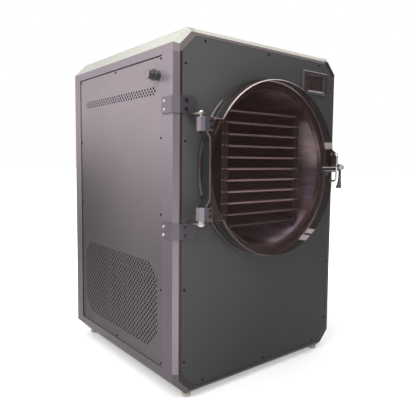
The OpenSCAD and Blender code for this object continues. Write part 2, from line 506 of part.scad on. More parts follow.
module latch_lever() color([0.2,0.15,0.15]) place() {
  alongy(lx,lz,-63,-12.3,5,$fn=64);
  alongy(lx,lz,-pull_len,-62.9,5.8,$fn=6);
  alongy(lx,lz,-62.9,-55,6.5,$fn=64);
  translate([lx,-55,0]) rotate([90,0,0]) linear_extrude(height=4.2)
    polygon([[-3.2,lz],[-3.2,480],[-6,466],[-13,454],[-8,450.5],[-2,455],[2,450],[6.5,452],[4.6,466],[3.2,480],[3.2,lz]]);
  alongy(lx,lz,-16.3,-12.3,7.5,$fn=64);
  translate([lx-5,-16.3,lz-22.5]) cube([10,4,22.5]);
}

post_front_left();
post_front_right();
posts_rear();
rail_front_top();
rail_front_bottom();
rail_rear_top();
rail_rear_bottom();
edge_rail_top_left();
edge_rail_top_right();
edge_rails_bottom();
corner_castings();
top_panel();
left_panel();
right_panel();
rear_panel();
base_pan();
front_panel();
feet();
panel_screws();
hinge_bracket_upper();
hinge_bracket_lower();
bracket_screws();
hinge_pins();
chamber();
chamber_collar();
door_gasket();
latch_keeper();
rack_side_left();
rack_side_right();
rack_shelves();
rack_screws();
display_bezel();
display_screen();
port_fitting();
port_nut();
port_cap();
vacuum_line();
evaporator_coil();
insulation_jacket();
compressor();
condenser_fins();
condenser_frame();
fan_shroud();
fan_motor();
fan_rotor();
control_box();
power_inlet();
inlet_pins();
power_switch();
drain_line();
drain_valve();
drain_lever();
door_panel();
door_bracket_upper();
door_bracket_lower();
door_screws();
pull_handle();
latch_body();
latch_lever();
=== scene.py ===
import json
import math
import bpy
import bmesh
from mathutils import Vector, Matrix


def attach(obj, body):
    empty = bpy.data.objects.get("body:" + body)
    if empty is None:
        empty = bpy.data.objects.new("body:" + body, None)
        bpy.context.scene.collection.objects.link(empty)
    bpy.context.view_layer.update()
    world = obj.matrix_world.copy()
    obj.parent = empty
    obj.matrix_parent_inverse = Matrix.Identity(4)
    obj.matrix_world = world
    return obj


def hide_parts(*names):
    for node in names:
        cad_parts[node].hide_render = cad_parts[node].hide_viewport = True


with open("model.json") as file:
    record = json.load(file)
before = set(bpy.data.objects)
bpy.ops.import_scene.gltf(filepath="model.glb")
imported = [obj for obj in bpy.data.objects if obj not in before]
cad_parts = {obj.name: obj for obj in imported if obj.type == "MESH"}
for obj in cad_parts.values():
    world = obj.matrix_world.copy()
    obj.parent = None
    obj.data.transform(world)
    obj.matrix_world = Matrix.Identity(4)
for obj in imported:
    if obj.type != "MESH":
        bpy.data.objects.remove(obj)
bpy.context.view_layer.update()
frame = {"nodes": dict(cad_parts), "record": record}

NODES = frame["nodes"]
scene = bpy.context.scene
scene.view_settings.view_transform = "Standard"
scene.view_settings.look = "None"

# ------------------------------------------------------------------ frame helpers
# Dimensions below are the cabinet's own millimetres: X from the left side face, Y back
# from the front face, Z up from the underside of the frame.
OX, OY, OZ = 256.0, 256.0, -12.0
W, D, H = 540.0, 532.0, 800.0
XC, ZC = 270.0, 502.0


def P(x, y, z):
    return Vector(((x - OX) / 1000.0, (y - OY) / 1000.0, (z - OZ) / 1000.0))


def lin(c):
    c = c / 255.0
    return c / 12.92 if c <= 0.04045 else ((c + 0.055) / 1.055) ** 2.4


def rgb(r, g, b):
    return (lin(r), lin(g), lin(b), 1.0)


# ------------------------------------------------------------------ materials
def new_mat(name):
    m = bpy.data.materials.new(name)
    m.use_nodes = True
    nt = m.node_tree
    nt.nodes.clear()
    out = nt.nodes.new("ShaderNodeOutputMaterial")
    b = nt.nodes.new("ShaderNodeBsdfPrincipled")
    nt.links.new(b.outputs[0], out.inputs[0])
    return m, nt, b, out


def coords(nt, scale=(1, 1, 1), rot=(0, 0, 0)):
    t = nt.nodes.new("ShaderNodeTexCoord")
    mp = nt.nodes.new("ShaderNodeMapping")
    mp.inputs["Scale"].default_value = scale
    mp.inputs["Rotation"].default_value = rot
    nt.links.new(t.outputs["Object"], mp.inputs["Vector"])
    return mp.outputs["Vector"]


def noise(nt, vec, scale, detail=4.0, rough=0.55, dist=0.0):
    n = nt.nodes.new("ShaderNodeTexNoise")
    n.inputs["Scale"].default_value = scale
    n.inputs["Detail"].default_value = detail
    n.inputs["Roughness"].default_value = rough
    n.inputs["Distortion"].default_value = dist
    nt.links.new(vec, n.inputs["Vector"])
    return n.outputs["Fac"]


def ramp(nt, fac, stops):
    r = nt.nodes.new("ShaderNodeValToRGB")
    el = r.color_ramp.elements
    while len(el) < len(stops):
        el.new(0.5)
    for e, (p, c) in zip(el, stops):
        e.position = p
        e.color = c if len(c) == 4 else (*c, 1.0)
    nt.links.new(fac, r.inputs["Fac"])
    return r.outputs["Color"]


def maprange(nt, fac, a, b, lo, hi):
    m = nt.nodes.new("ShaderNodeMapRange")
    m.inputs["From Min"].default_value = a
    m.inputs["From Max"].default_value = b
    m.inputs["To Min"].default_value = lo
    m.inputs["To Max"].default_value = hi
    nt.links.new(fac, m.inputs["Value"])
    return m.outputs["Result"]


def mixc(nt, fac, a, b, mode="MIX"):
    m = nt.nodes.new("ShaderNodeMix")
    m.data_type = "RGBA"
    m.blend_type = mode
    for sock, v in ((m.inputs[0], fac), (m.inputs[6], a), (m.inputs[7], b)):
        if isinstance(v, (float, int)):
            sock.default_value = v
        elif isinstance(v, tuple):
            sock.default_value = v
        else:
            nt.links.new(v, sock)
    return m.outputs[2]


def bump(nt, b, height, strength, dist, prev=None):
    n = nt.nodes.new("ShaderNodeBump")
    n.inputs["Strength"].default_value = strength
    n.inputs["Distance"].default_value = dist
    nt.links.new(height, n.inputs["Height"])
    if prev is not None:
        nt.links.new(prev, n.inputs["Normal"])
    if b is not None:
        nt.links.new(n.outputs["Normal"], b.inputs["Normal"])
    return n.outputs["Normal"]


def scaled(c, k):
    return (min(1, c[0] * k), min(1, c[1] * k), min(1, c[2] * k), 1.0)


def dot3(nt, vec, w):
    """Weighted sum of the three parts of a vector."""
    m = nt.nodes.new("ShaderNodeVectorMath")
    m.operation = "DOT_PRODUCT"
    nt.links.new(vec, m.inputs[0])
    m.inputs[1].default_value = w
    return m.outputs["Value"]


def painted_shade_ramps(nt, c, vec, terms):
    """Painted shade: darkens a colour along smooth ramps over the object, and a negative depth lightens it as painted
    light: each term is (ramps, depth), each ramp (weights, from, to).
    """
    for ramps, depth in terms:
        prod = None
        for w, lo, hi in ramps:
            r = nt.nodes.new("ShaderNodeMapRange")
            r.interpolation_type = "SMOOTHSTEP"
            nt.links.new(dot3(nt, vec, w), r.inputs["Value"])
            r.inputs["From Min"].default_value = lo
            r.inputs["From Max"].default_value = hi
            if prod is None:
                prod = r.outputs["Result"]
            else:
                mu = nt.nodes.new("ShaderNodeMath")
                mu.operation = "MULTIPLY"
                nt.links.new(prod, mu.inputs[0])
                nt.links.new(r.outputs["Result"], mu.inputs[1])
                prod = mu.outputs[0]
        k = maprange(nt, prod, 0.0, 1.0, 1.0, 1.0 - depth)
        cb = nt.nodes.new("ShaderNodeCombineColor")
        for q in range(3):
            nt.links.new(k, cb.inputs[q])
        c = mixc(nt, 1.0, c, cb.outputs[0], "MULTIPLY")
    return c


def coat_paint(name, col, rough=0.42, grain=0.14, mottle=0.07, coat=0.0, spec=0.5, grain_scale=900, flake=0.0, fade=0.0, grade=()):
    """Powder coat: orange-peel bump, fine speckle, faint large mottling and rubbing in the gloss; fade paints shade
    darker towards the bottom, and grade paints shade along the given ramps.
    """
    m, nt, b, out = new_mat(name)
    v = coords(nt)
    big = noise(nt, v, 3.2, 3.0, 0.5)
    fine = noise(nt, v, 520.0, 2.0, 0.6)
    speck = noise(nt, v, 1500.0, 1.0, 0.5)
    c = ramp(nt, big, [(0.3, scaled(col, 1 - mottle)), (0.7, scaled(col, 1 + mottle))])
    c = mixc(nt, 0.5, c, ramp(nt, fine, [(0.35, (0.86,) * 3), (0.65, (1.0,) * 3)]), "MULTIPLY")
    c = mixc(nt, 0.25, c, ramp(nt, speck, [(0.40, (0.75,) * 3), (0.6, (1.0,) * 3)]), "MULTIPLY")
    # fade: painted shade, the colour darker towards the bottom of the object
    if fade:
        sp = nt.nodes.new("ShaderNodeSeparateXYZ")
        nt.links.new(v, sp.inputs[0])
        low = nt.nodes.new("ShaderNodeMapRange")
        low.interpolation_type = "SMOOTHSTEP"
        nt.links.new(sp.outputs[2], low.inputs["Value"])
        low.inputs["From Min"].default_value = 0.10
        low.inputs["From Max"].default_value = 0.74
        low.inputs["To Min"].default_value = 1.0 - fade
        low.inputs["To Max"].default_value = 1.0
        cb = nt.nodes.new("ShaderNodeCombineColor")
        for k in range(3):
            nt.links.new(low.outputs["Result"], cb.inputs[k])
        c = mixc(nt, 1.0, c, cb.outputs[0], "MULTIPLY")
    # grade: painted shade along the given ramps
    c = painted_shade_ramps(nt, c, v, grade)
    nt.links.new(c, b.inputs["Base Color"])
    rub = noise(nt, coords(nt, (1, 1, 0.25)), 14.0, 5.0, 0.65)
    nt.links.new(maprange(nt, rub, 0.3, 0.7, rough - 0.05, rough + 0.07), b.inputs["Roughness"])
    peel = noise(nt, v, grain_scale, 3.0, 0.55)
    bump(nt, b, peel, grain, 0.0004)
    b.inputs["Coat Weight"].default_value = coat
    b.inputs["Metallic"].default_value = flake
    b.inputs["Coat Roughness"].default_value = 0.15
    b.inputs["Specular IOR Level"].default_value = spec
    return m


def metal(name, col, rough=0.28, brush=(1, 1, 1), brush_scale=900, strength=0.12, aniso=0.0, tint=0.08, grade=()):
    """Machined or drawn metal: fine directional lines, soft staining, uneven gloss; grade paints shade along the given
    ramps.
    """
    m, nt, b, out = new_mat(name)
    v = coords(nt, brush)
    lines = noise(nt, v, brush_scale, 2.0, 0.6)
    stain = noise(nt, coords(nt), 22.0, 5.0, 0.6)
    c = ramp(nt, stain, [(0.3, scaled(col, 1 - tint)), (0.7, scaled(col, 1 + tint))])
    c = mixc(nt, 0.35, c, ramp(nt, lines, [(0.3, (0.78,) * 3), (0.7, (1.0,) * 3)]), "MULTIPLY")
    c = painted_shade_ramps(nt, c, coords(nt), grade)
    nt.links.new(c, b.inputs["Base Color"])
    b.inputs["Metallic"].default_value = 1.0
    nt.links.new(maprange(nt, lines, 0.25, 0.75, max(0.02, rough - 0.07), rough + 0.09), b.inputs["Roughness"])
    b.inputs["Anisotropic"].default_value = aniso
    bump(nt, b, lines, strength, 0.0002)
    return m


def plastic(name, col, rough=0.4, grain=0.1, scale=700, coat=0.0, spec=0.5, var=0.06):
    m, nt, b, out = new_mat(name)
    v = coords(nt)
    c = ramp(nt, noise(nt, v, 35.0, 4.0), [(0.3, scaled(col, 1 - var)), (0.7, scaled(col, 1 + var))])
    nt.links.new(c, b.inputs["Base Color"])
    nt.links.new(maprange(nt, noise(nt, v, 60.0, 4.0), 0.3, 0.7, max(0.02, rough - 0.05), rough + 0.06), b.inputs["Roughness"])
    bump(nt, b, noise(nt, v, scale, 2.0), grain, 0.0003)
    b.inputs["Coat Weight"].default_value = coat
    b.inputs["Coat Roughness"].default_value = 0.06
    b.inputs["Specular IOR Level"].default_value = spec
    return m


M = {}
DOWN = (0, 0, -1)
# Frame paint with painted shade: the colour darker towards the bottom.
M["frame"] = coat_paint("frame_coat", rgb(171, 157, 166), 0.34, 0.10, flake=0.55, grade=[([(DOWN, -0.68, -0.22)], 0.64)])
# A darker copy of the frame paint for the front bevels, darker again towards the top: painted shade and painted
# reflection of the dark surroundings.
M["frame_bevel"] = coat_paint("frame_coat_bevel_shade", rgb(147, 137, 145), 0.34, 0.10, flake=0.55, grade=[([((0, 0, 1), 0.12, 0.80)], 0.52)])
# A darker copy of the frame paint for the undersides at the bottom: painted shade.
M["frame_low_shade"] = coat_paint("frame_coat_low_shade", rgb(124, 118, 121), 0.36, 0.10, flake=0.45)
# Lighter, cream copies of the frame paint for the up-facing top chamfers: painted light from above.
M["edge_front"] = coat_paint("edge_coat_front_lit", rgb(218, 215, 205), 0.50, 0.03, flake=0.1)
M["edge_top_lit"] = coat_paint("edge_coat_top_lit", rgb(190, 190, 181), 0.50, 0.03, flake=0.1)
M["casting"] = coat_paint("casting_coat", rgb(132, 126, 126), 0.36, 0.12)
# Painted shade on the side coats: the left side darker towards the bottom and, low down, towards the rear; the right
# side darker towards the bottom.
REARWARD = [((0, 1, 0), -0.20, 0.30), (DOWN, -0.70, -0.42)]
M["side"] = coat_paint("side_coat", rgb(175, 162, 169), 0.40, 0.10, 0.05, flake=0.55, grade=[([(DOWN, -0.70, -0.25)], 0.68), (REARWARD, 0.60)])
M["right_side"] = coat_paint("right_side_coat", rgb(150, 140, 146), 0.40, 0.10, 0.05, flake=0.55, grade=[([(DOWN, -0.74, -0.10)], 0.45)])
# Painted shade on the front coat: darker towards the right and the bottom.
M["front"] = coat_paint("front_coat", rgb(88, 88, 88), 0.42, 0.10, 0.03, grade=[([((0.943, 0, -0.714), -0.84, 0.10)], 0.72)])
M["rear"] = coat_paint("rear_coat", rgb(90, 90, 90), 0.42, 0.10, 0.03)
M["top"] = coat_paint("top_coat", rgb(150, 142, 144), 0.42, 0.12)
M["zinc"] = metal("zinc_sheet", rgb(186, 186, 190), 0.42, (1, 1, 1), 60, 0.05, tint=0.14)
M["screw"] = metal("black_oxide", rgb(52, 46, 50), 0.34, (1, 1, 1), 800, 0.1)
# Lighter grey oxide: a painted highlight on the flat top of the socket heads, and the handle flanges' own grey.
M["oxide_rim"] = metal("black_oxide_rim", rgb(104, 96, 102), 0.30, (1, 1, 1), 800, 0.1)
M["hinge"] = coat_paint("hinge_coat", rgb(140, 128, 137), 0.30, 0.10, flake=0.5)
M["chrome"] = metal("chrome_plate", rgb(226, 219, 219), 0.07, (1, 1, 1), 400, 0.02, tint=0.03)
M["steel"] = metal("drawn_steel", rgb(190, 182, 178), 0.26, (1, 1, 6), 300, 0.08)
M["collar"] = plastic("collar_enamel", rgb(46, 33, 33), 0.14, 0.03, 500, 0.6, 0.4)
M["gasket"] = plastic("gasket_rubber", rgb(34, 23, 23), 0.20, 0.03, 900, 0.4, 0.4)
M["keeper"] = coat_paint("keeper_coat", rgb(96, 76, 76), 0.25, 0.08, coat=0.4)
M["rack"] = coat_paint("rack_coat", rgb(18, 13, 13), 0.5, 0.1)
M["rivet"] = metal("rivet_metal", rgb(214, 198, 200), 0.3, (1, 1, 1), 500, 0.05)
M["shelf"] = metal("shelf_metal", rgb(176, 152, 156), 0.36, (1, 8, 1), 260, 0.08)
# The bezel plastic with a lit copy for up-facing faces, a painted highlight, and shaded copies for the recess sides and
# down-facing faces, painted shade.
M["bezel"] = plastic("bezel_plastic", rgb(58, 48, 50), 0.26, 0.03, 900, 0.3)
M["bezel_lit"] = plastic("bezel_plastic_lit", rgb(166, 156, 158), 0.24, 0.03, 900, 0.3)
M["bezel_mid"] = plastic("bezel_plastic_side_shade", rgb(50, 48, 56), 0.24, 0.03, 900, 0.3)
M["bezel_dark"] = plastic("bezel_plastic_shade", rgb(34, 26, 27), 0.26, 0.03, 900, 0.2)
M["port"] = plastic("port_moulding", rgb(60, 57, 62), 0.20, 0.06, 900, 0.6)
M["foot"] = plastic("foot_pad", rgb(214, 208, 190), 0.55, 0.2, 500)
M["foam"] = plastic("foam_jacket", rgb(40, 40, 40), 0.9, 0.8, 120)
M["comp"] = coat_paint("compressor_enamel", rgb(30, 30, 32), 0.22, 0.05, coat=0.6)
M["fin"] = metal("fin_stack", rgb(74, 38, 35), 0.5, (1, 40, 1), 40, 0.3)
M["copper"] = metal("copper_tube", rgb(200, 124, 84), 0.28, (1, 1, 1), 200, 0.05, tint=0.16)
M["brass"] = metal("valve_brass", rgb(198, 164, 96), 0.32, (1, 1, 1), 300, 0.1, tint=0.14)
M["grey"] = coat_paint("motor_coat", rgb(96, 96, 100), 0.4, 0.1)
M["black_plastic"] = plastic("black_plastic", rgb(30, 30, 30), 0.42, 0.2, 800)
# Near-black sheet colour standing in for the shade seen through the left vents.
M["cloth_dark"] = plastic("vent_shade_cloth", rgb(10, 9, 10), 0.95, 0.6, 420, spec=0.1, var=0.25)
# A dark strip colour standing in for shade: in the gap along the left panel and under the hinge brackets.
M["seam"] = plastic("seam_strip", rgb(30, 20, 20), 0.6, 0.3, 700)
M["cloth"] = plastic("filter_cloth", rgb(30, 30, 31), 0.92, 0.9, 420, var=0.25)
M["red"] = plastic("red_plastic", rgb(150, 26, 22), 0.3, 0.06, 700, 0.3)
M["dip"] = plastic("dipped_vinyl", rgb(170, 34, 26), 0.4, 0.2, 300, 0.1)


# A shaded and a lit copy of the frame paint for the lips: painted shade on the lower and rear lips, painted light along
# the top.
M["lip_dark"] = coat_paint("lip_coat_shade", rgb(54, 43, 43), 0.30, 0.10)
M["lip_top"] = coat_paint("lip_coat_lit", rgb(122, 112, 114), 0.32, 0.10)
# A darker copy of the casting paint for the lower corner castings: painted shade.
M["casting_low"] = coat_paint("casting_coat_low_shade", rgb(90, 89, 86), 0.34, 0.12)
M["inside"] = coat_paint("inside_coat", rgb(60, 58, 60), 0.5, 0.1)
# Shaded copies of the hinge paint for the front leaves, the diagonal bevels and the whole lower bracket: painted shade.
M["hinge_front"] = coat_paint("hinge_coat_front_shade", rgb(84, 76, 82), 0.30, 0.10, flake=0.3)
M["hinge_bevel"] = coat_paint("hinge_coat_bevel_shade", rgb(112, 103, 113), 0.30, 0.10, flake=0.5)
M["hinge_low"] = coat_paint("hinge_coat_low_shade", rgb(116, 106, 114), 0.30, 0.10, flake=0.5)
M["knuckle"] = coat_paint("knuckle_coat", rgb(166, 150, 154), 0.26, 0.08, flake=0.5)
# Copies of the knuckle paint: the diagonal facets darker and lighter again on the lower bracket, the front faces
# darker: painted shade and painted light.
M["knuckle_mid"] = coat_paint("knuckle_coat_mid_shade_and_light", rgb(112, 108, 120), 0.24, 0.08, flake=0.5, grade=[([(DOWN, -0.50, -0.43)], -0.6)])
M["knuckle_front"] = coat_paint("knuckle_coat_front_shade", rgb(74, 70, 73), 0.28, 0.08, coat=0.2)
M["chrome_dark"] = metal("screw_chrome", rgb(206, 200, 204), 0.12, (1, 1, 1), 500, 0.04)
M["lever"] = plastic("lever_enamel", rgb(66, 48, 48), 0.20, 0.05, 600, 0.6, 0.5)
# A lighter copy of the shelf metal for the rolled front lips, a painted highlight, darker on the lower shelves: painted
# shade.
M["shelf_edge"] = metal("shelf_edge_metal", rgb(216, 192, 196), 0.30, (8, 1, 1), 260, 0.08, grade=[([(DOWN, -0.455, -0.378)], 0.82)])
M["hole"] = plastic("hole_shadow", rgb(9, 8, 8), 0.6, 0.1, 900)
M["cap_face"] = coat_paint("cap_coat", rgb(150, 138, 142), 0.40, 0.10)


def chamber_mat():
    """Polished steel liner under a brown coat, with painted sheen down the right wall and painted highlight streaks
    along the floor, laid into the colour at fixed angles round the axis.
    """
    m, nt, b, out = new_mat("chamber_liner")
    v = coords(nt)
    lines = noise(nt, coords(nt, (60.0, 1.0, 60.0)), 6.0, 3.0, 0.6)
    cloud = noise(nt, coords(nt, (1.0, 0.35, 1.0)), 11.0, 5.0, 0.6, 0.8)
    c = ramp(nt, cloud, [(0.30, rgb(72, 56, 57)), (0.50, rgb(98, 80, 84)), (0.66, rgb(142, 124, 134))])
    cx, cz, r = (XC - OX) / 1000, (ZC - OZ) / 1000, 0.196
    # Painted sheen and highlights: light tones at fixed angles round the chamber axis.
    for ang, lo, hi, tone, amt in ((19, 0.915, 0.995, rgb(255, 242, 246), 1.0), (-14, 0.965, 0.992, rgb(206, 190, 226), 0.5),
                                   (-50, 0.962, 0.992, rgb(214, 200, 224), 0.75), (-66, 0.972, 0.996, rgb(226, 214, 240), 0.8)):
        w = (math.cos(math.radians(ang)) / r, 0, math.sin(math.radians(ang)) / r)
        off = cx * w[0] + cz * w[2]
        k = nt.nodes.new("ShaderNodeMapRange")
        k.interpolation_type = "SMOOTHSTEP"
        nt.links.new(dot3(nt, v, w), k.inputs["Value"])
        k.inputs["From Min"].default_value = lo + off
        k.inputs["From Max"].default_value = hi + off
        k.inputs["To Max"].default_value = amt
        f = nt.nodes.new("ShaderNodeMath")
        f.operation = "MULTIPLY"
        nt.links.new(k.outputs["Result"], f.inputs[0])
        nt.links.new(maprange(nt, cloud, 0.36, 0.58, 0.35, 1.0), f.inputs[1])
        c = mixc(nt, f.outputs[0], c, tone)
    nt.links.new(c, b.inputs["Base Color"])
    b.inputs["Metallic"].default_value = 0.12
    nt.links.new(maprange(nt, cloud, 0.3, 0.7, 0.28, 0.44), b.inputs["Roughness"])
    n1 = bump(nt, None, lines, 0.06, 0.0004)
    bump(nt, b, cloud, 0.15, 0.004, n1)
    return m


M["chamber"] = chamber_mat()


def acrylic_clear():
    """Clear cast acrylic: light passes straight through; the surface adds its gloss, and a faint brown diffuse veil
    that is a painted reflection of the dark surroundings.
    """
    m, nt, b, out = new_mat("acrylic_face")
    v = coords(nt)
    smear = noise(nt, coords(nt, (1, 1, 0.5)), 7.0, 5.0, 0.6, 0.4)
    b.inputs["Base Color"].default_value = rgb(58, 46, 46)
    nt.links.new(maprange(nt, smear, 0.35, 0.75, 0.03, 0.10), b.inputs["Roughness"])
    b.inputs["IOR"].default_value = 1.49
    tr = nt.nodes.new("ShaderNodeBsdfTransparent")
    tr.inputs["Color"].default_value = (0.93, 0.90, 0.895, 1)
    fr = nt.nodes.new("ShaderNodeFresnel")
    geo = nt.nodes.new("ShaderNodeNewGeometry")
    nt.links.new(maprange(nt, geo.outputs["Backfacing"], 0.0, 1.0, 1.40, 1.0 / 1.40), fr.inputs["IOR"])
    f2 = maprange(nt, fr.outputs[0], 0.0, 1.0, 0.03, 0.80)
    reflection_veil = nt.nodes.new("ShaderNodeBsdfDiffuse")
    nt.links.new(ramp(nt, smear, [(0.3, rgb(104, 78, 76)), (0.7, rgb(124, 94, 92))]), reflection_veil.inputs["Color"])
    veil_mix = nt.nodes.new("ShaderNodeMixShader")
    veil_mix.inputs[0].default_value = 0.05
    nt.links.new(tr.outputs[0], veil_mix.inputs[1])
    nt.links.new(reflection_veil.outputs[0], veil_mix.inputs[2])
    mix = nt.nodes.new("ShaderNodeMixShader")
    nt.links.new(f2, mix.inputs[0])
    nt.links.new(veil_mix.outputs[0], mix.inputs[1])
    nt.links.new(b.outputs[0], mix.inputs[2])
    nt.links.new(see_through(nt, mix.outputs[0]), out.inputs[0])
    return m


def math_op(nt, op, a, b2):
    m = nt.nodes.new("ShaderNodeMath")
    m.operation = op
    nt.links.new(a, m.inputs[0])
    nt.links.new(b2, m.inputs[1])
    return m.outputs[0]


def see_through(nt, shader, inner=0.0, solid=None):
    """Lets shadow rays pass; inner is how clear the surface is when it is seen from inside the sheet."""
    lp = nt.nodes.new("ShaderNodeLightPath")
    geo = nt.nodes.new("ShaderNodeNewGeometry")
    f = nt.nodes.new("ShaderNodeMath")
    f.operation = "MAXIMUM"
    nt.links.new(maprange(nt, lp.outputs["Is Shadow Ray"], 0.0, 1.0, 0.0, 0.92), f.inputs[0])
    nt.links.new(maprange(nt, geo.outputs["Backfacing"], 0.0, 1.0, 0.0, inner), f.inputs[1])
    fac = f.outputs[0]
    if solid is not None:
        fac = math_op(nt, "MULTIPLY", fac, maprange(nt, solid, 0.0, 1.0, 1.0, 0.1))
    tr = nt.nodes.new("ShaderNodeBsdfTransparent")
    nt.links.new(mixc(nt, lp.outputs["Is Shadow Ray"], (0.52, 0.49, 0.48, 1), (0.92, 0.88, 0.87, 1)), tr.inputs["Color"])
    mix = nt.nodes.new("ShaderNodeMixShader")
    nt.links.new(fac, mix.inputs[0])
    nt.links.new(shader, mix.inputs[1])
    nt.links.new(tr.outputs[0], mix.inputs[2])
    return mix.outputs[0]


def acrylic_edge(name, col, rough, alpha, lit=None, inner=0.0, glint_spots=()):
    """Sawn and polished edge of the sheet; lit is a painted highlight tone on its upper left run, and spots are painted
    glints at the given angles round the door axis, made less see-through.
    """
    m, nt, b, out = new_mat(name)
    v = coords(nt)
    streak = noise(nt, coords(nt, (1, 0.12, 1)), 60.0, 4.0, 0.6)
    c = ramp(nt, streak, [(0.3, scaled(col, 0.8)), (0.7, scaled(col, 1.25))])
    if lit:
        up = maprange(nt, dot3(nt, v, (-0.25, 0, 1.0)), 0.655, 0.70, 0.0, 1.0)
        c = mixc(nt, up, c, lit)
    solid = None
    for ang, half in glint_spots:
        w = (math.cos(math.radians(ang)), 0, math.sin(math.radians(ang)))
        off = (XC - OX) / 1000 * w[0] + (ZC - OZ) / 1000 * w[2]
        near = maprange(nt, dot3(nt, v, w), off + 0.2084 * math.cos(math.radians(half)), off + 0.2084 * math.cos(math.radians(half * 0.4)), 0.0, 0.85)
        if inner > 0.5:
            geo = nt.nodes.new("ShaderNodeNewGeometry")
            near = math_op(nt, "MULTIPLY", near, geo.outputs["Backfacing"])
        c = mixc(nt, near, c, rgb(252, 236, 240))
        solid = near if solid is None else math_op(nt, "MAXIMUM", solid, near)
    nt.links.new(c, b.inputs["Base Color"])
    nt.links.new(maprange(nt, streak, 0.3, 0.7, rough, rough + 0.1), b.inputs["Roughness"])
    b.inputs["IOR"].default_value = 1.49
    b.inputs["Alpha"].default_value = alpha
    b.inputs["Coat Weight"].default_value = 0.5
    b.inputs["Coat Roughness"].default_value = 0.05
    nt.links.new(see_through(nt, b.outputs[0], inner, solid), out.inputs[0])
    return m


M["clear"] = acrylic_clear()
# Angles round the door axis of the painted glints on the edge and chamfer.
GLINT_A, GLINT_B = 17.0, -58.0
M["edge"] = acrylic_edge("acrylic_edge", rgb(42, 45, 43), 0.10, 0.97, inner=0.7, glint_spots=((GLINT_A, 2.4), (GLINT_B, 3.2), (GLINT_B + 7.0, 2.0)))
M["chamfer"] = acrylic_edge("acrylic_chamfer", rgb(84, 64, 62), 0.16, 0.9, lit=rgb(222, 202, 204), inner=0.4, glint_spots=((GLINT_A, 3.4), (GLINT_B + 2.0, 5.5)))


def screen_mat():
    m, nt, b, out = new_mat("touch_glass")
    v = coords(nt, (1, 1, 0.08))
    # Vertical streaks in the colour: painted reflections on the dark glass.
    st = noise(nt, v, 160.0, 3.0, 0.6)
    c = ramp(nt, st, [(0.3, rgb(30, 20, 20)), (0.7, rgb(66, 50, 50))])
    nt.links.new(c, b.inputs["Base Color"])
    nt.links.new(maprange(nt, st, 0.3, 0.7, 0.06, 0.16), b.inputs["Roughness"])
    b.inputs["Coat Weight"].default_value = 1.0
    b.inputs["Coat Roughness"].default_value = 0.03
    return m


M["screen"] = screen_mat()

# ------------------------------------------------------------------ mesh helpers


def obj_from_bm(name, bm, mats, body="cabinet", smooth=35.0, replaces=()):
    me = bpy.data.meshes.new(name)
    bmesh.ops.recalc_face_normals(bm, faces=bm.faces)
    bm.to_mesh(me)
    bm.free()
    o = bpy.data.objects.new(name, me)
    scene.collection.objects.link(o)
    for mt in mats if isinstance(mats, (list, tuple)) else [mats]:
        me.materials.append(mt)
    if smooth is not None:
        shade(o, smooth)
    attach(o, body)
    if replaces:
        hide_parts(*([replaces] if isinstance(replaces, str) else replaces))
    return o


def shade(o, angle=35.0):
    me = o.data
    bm = bmesh.new()
    bm.from_mesh(me)
    lim = math.radians(angle)
    for f in bm.faces:
        f.smooth = True
    for e in bm.edges:
        e.smooth = not (len(e.link_faces) != 2 or e.calc_face_angle(0.0) > lim)
    bm.to_mesh(me)
    bm.free()
    wn = o.modifiers.new("weighted", "WEIGHTED_NORMAL")
    wn.keep_sharp = True
    wn.weight = 60


def axes_at(p, d, up=(0, 0, 1)):
    """Matrix from local millimetres, with Z along d, to the frame, at the point p."""
    z = Vector(d).normalized()
    u = Vector(up)
    if abs(z.dot(u)) > 0.99:
        u = Vector((1, 0, 0))
    x = u.cross(z).normalized()
    y = z.cross(x)
    m = Matrix((x, y, z)).transposed().to_4x4()
    return Matrix.Translation(P(*p)) @ m @ Matrix.Scale(0.001, 4)


def revolve(bm, prof, p, d, n=96, mats=0, closed=True, hexes=(), spin=0.0, caps=True):
    """Turns prof, a list of (radius, station), round the line through p along d. Stations whose index is in hexes are six-sided."""
    m = axes_at(p, d)
    k = len(prof)
    rings = []
    for j, (r, s) in enumerate(prof):
        if r < 1e-6:
            rings.append([bm.verts.new(m @ Vector((0, 0, s)))])
            continue
        ring = []
        for i in range(n):
            a = 2 * math.pi * i / n
            rr = r
            if j in hexes:
                rr = r * math.cos(math.pi / 6) / math.cos((a % (math.pi / 3)) - math.pi / 6)
            ring.append(bm.verts.new(m @ Vector((rr * math.cos(a + spin), rr * math.sin(a + spin), s))))
        rings.append(ring)
    segs = [(j, j + 1) for j in range(k - 1)] + ([(k - 1, 0)] if closed and len(rings[0]) > 1 and len(rings[-1]) > 1 else [])
    for q, (j0, j1) in enumerate(segs):
        a, b = rings[j0], rings[j1]
        mt = mats if isinstance(mats, int) else mats[q % len(mats)]
        for i in range(n):
            i2 = (i + 1) % n
            if len(a) == 1 and len(b) == 1:
                break
            if len(a) == 1:
                f = bm.faces.new([a[0], b[i2], b[i]])
            elif len(b) == 1:
                f = bm.faces.new([a[i], a[i2], b[0]])
            else:
                f = bm.faces.new([a[i], a[i2], b[i2], b[i]])
            f.material_index = mt
    return rings


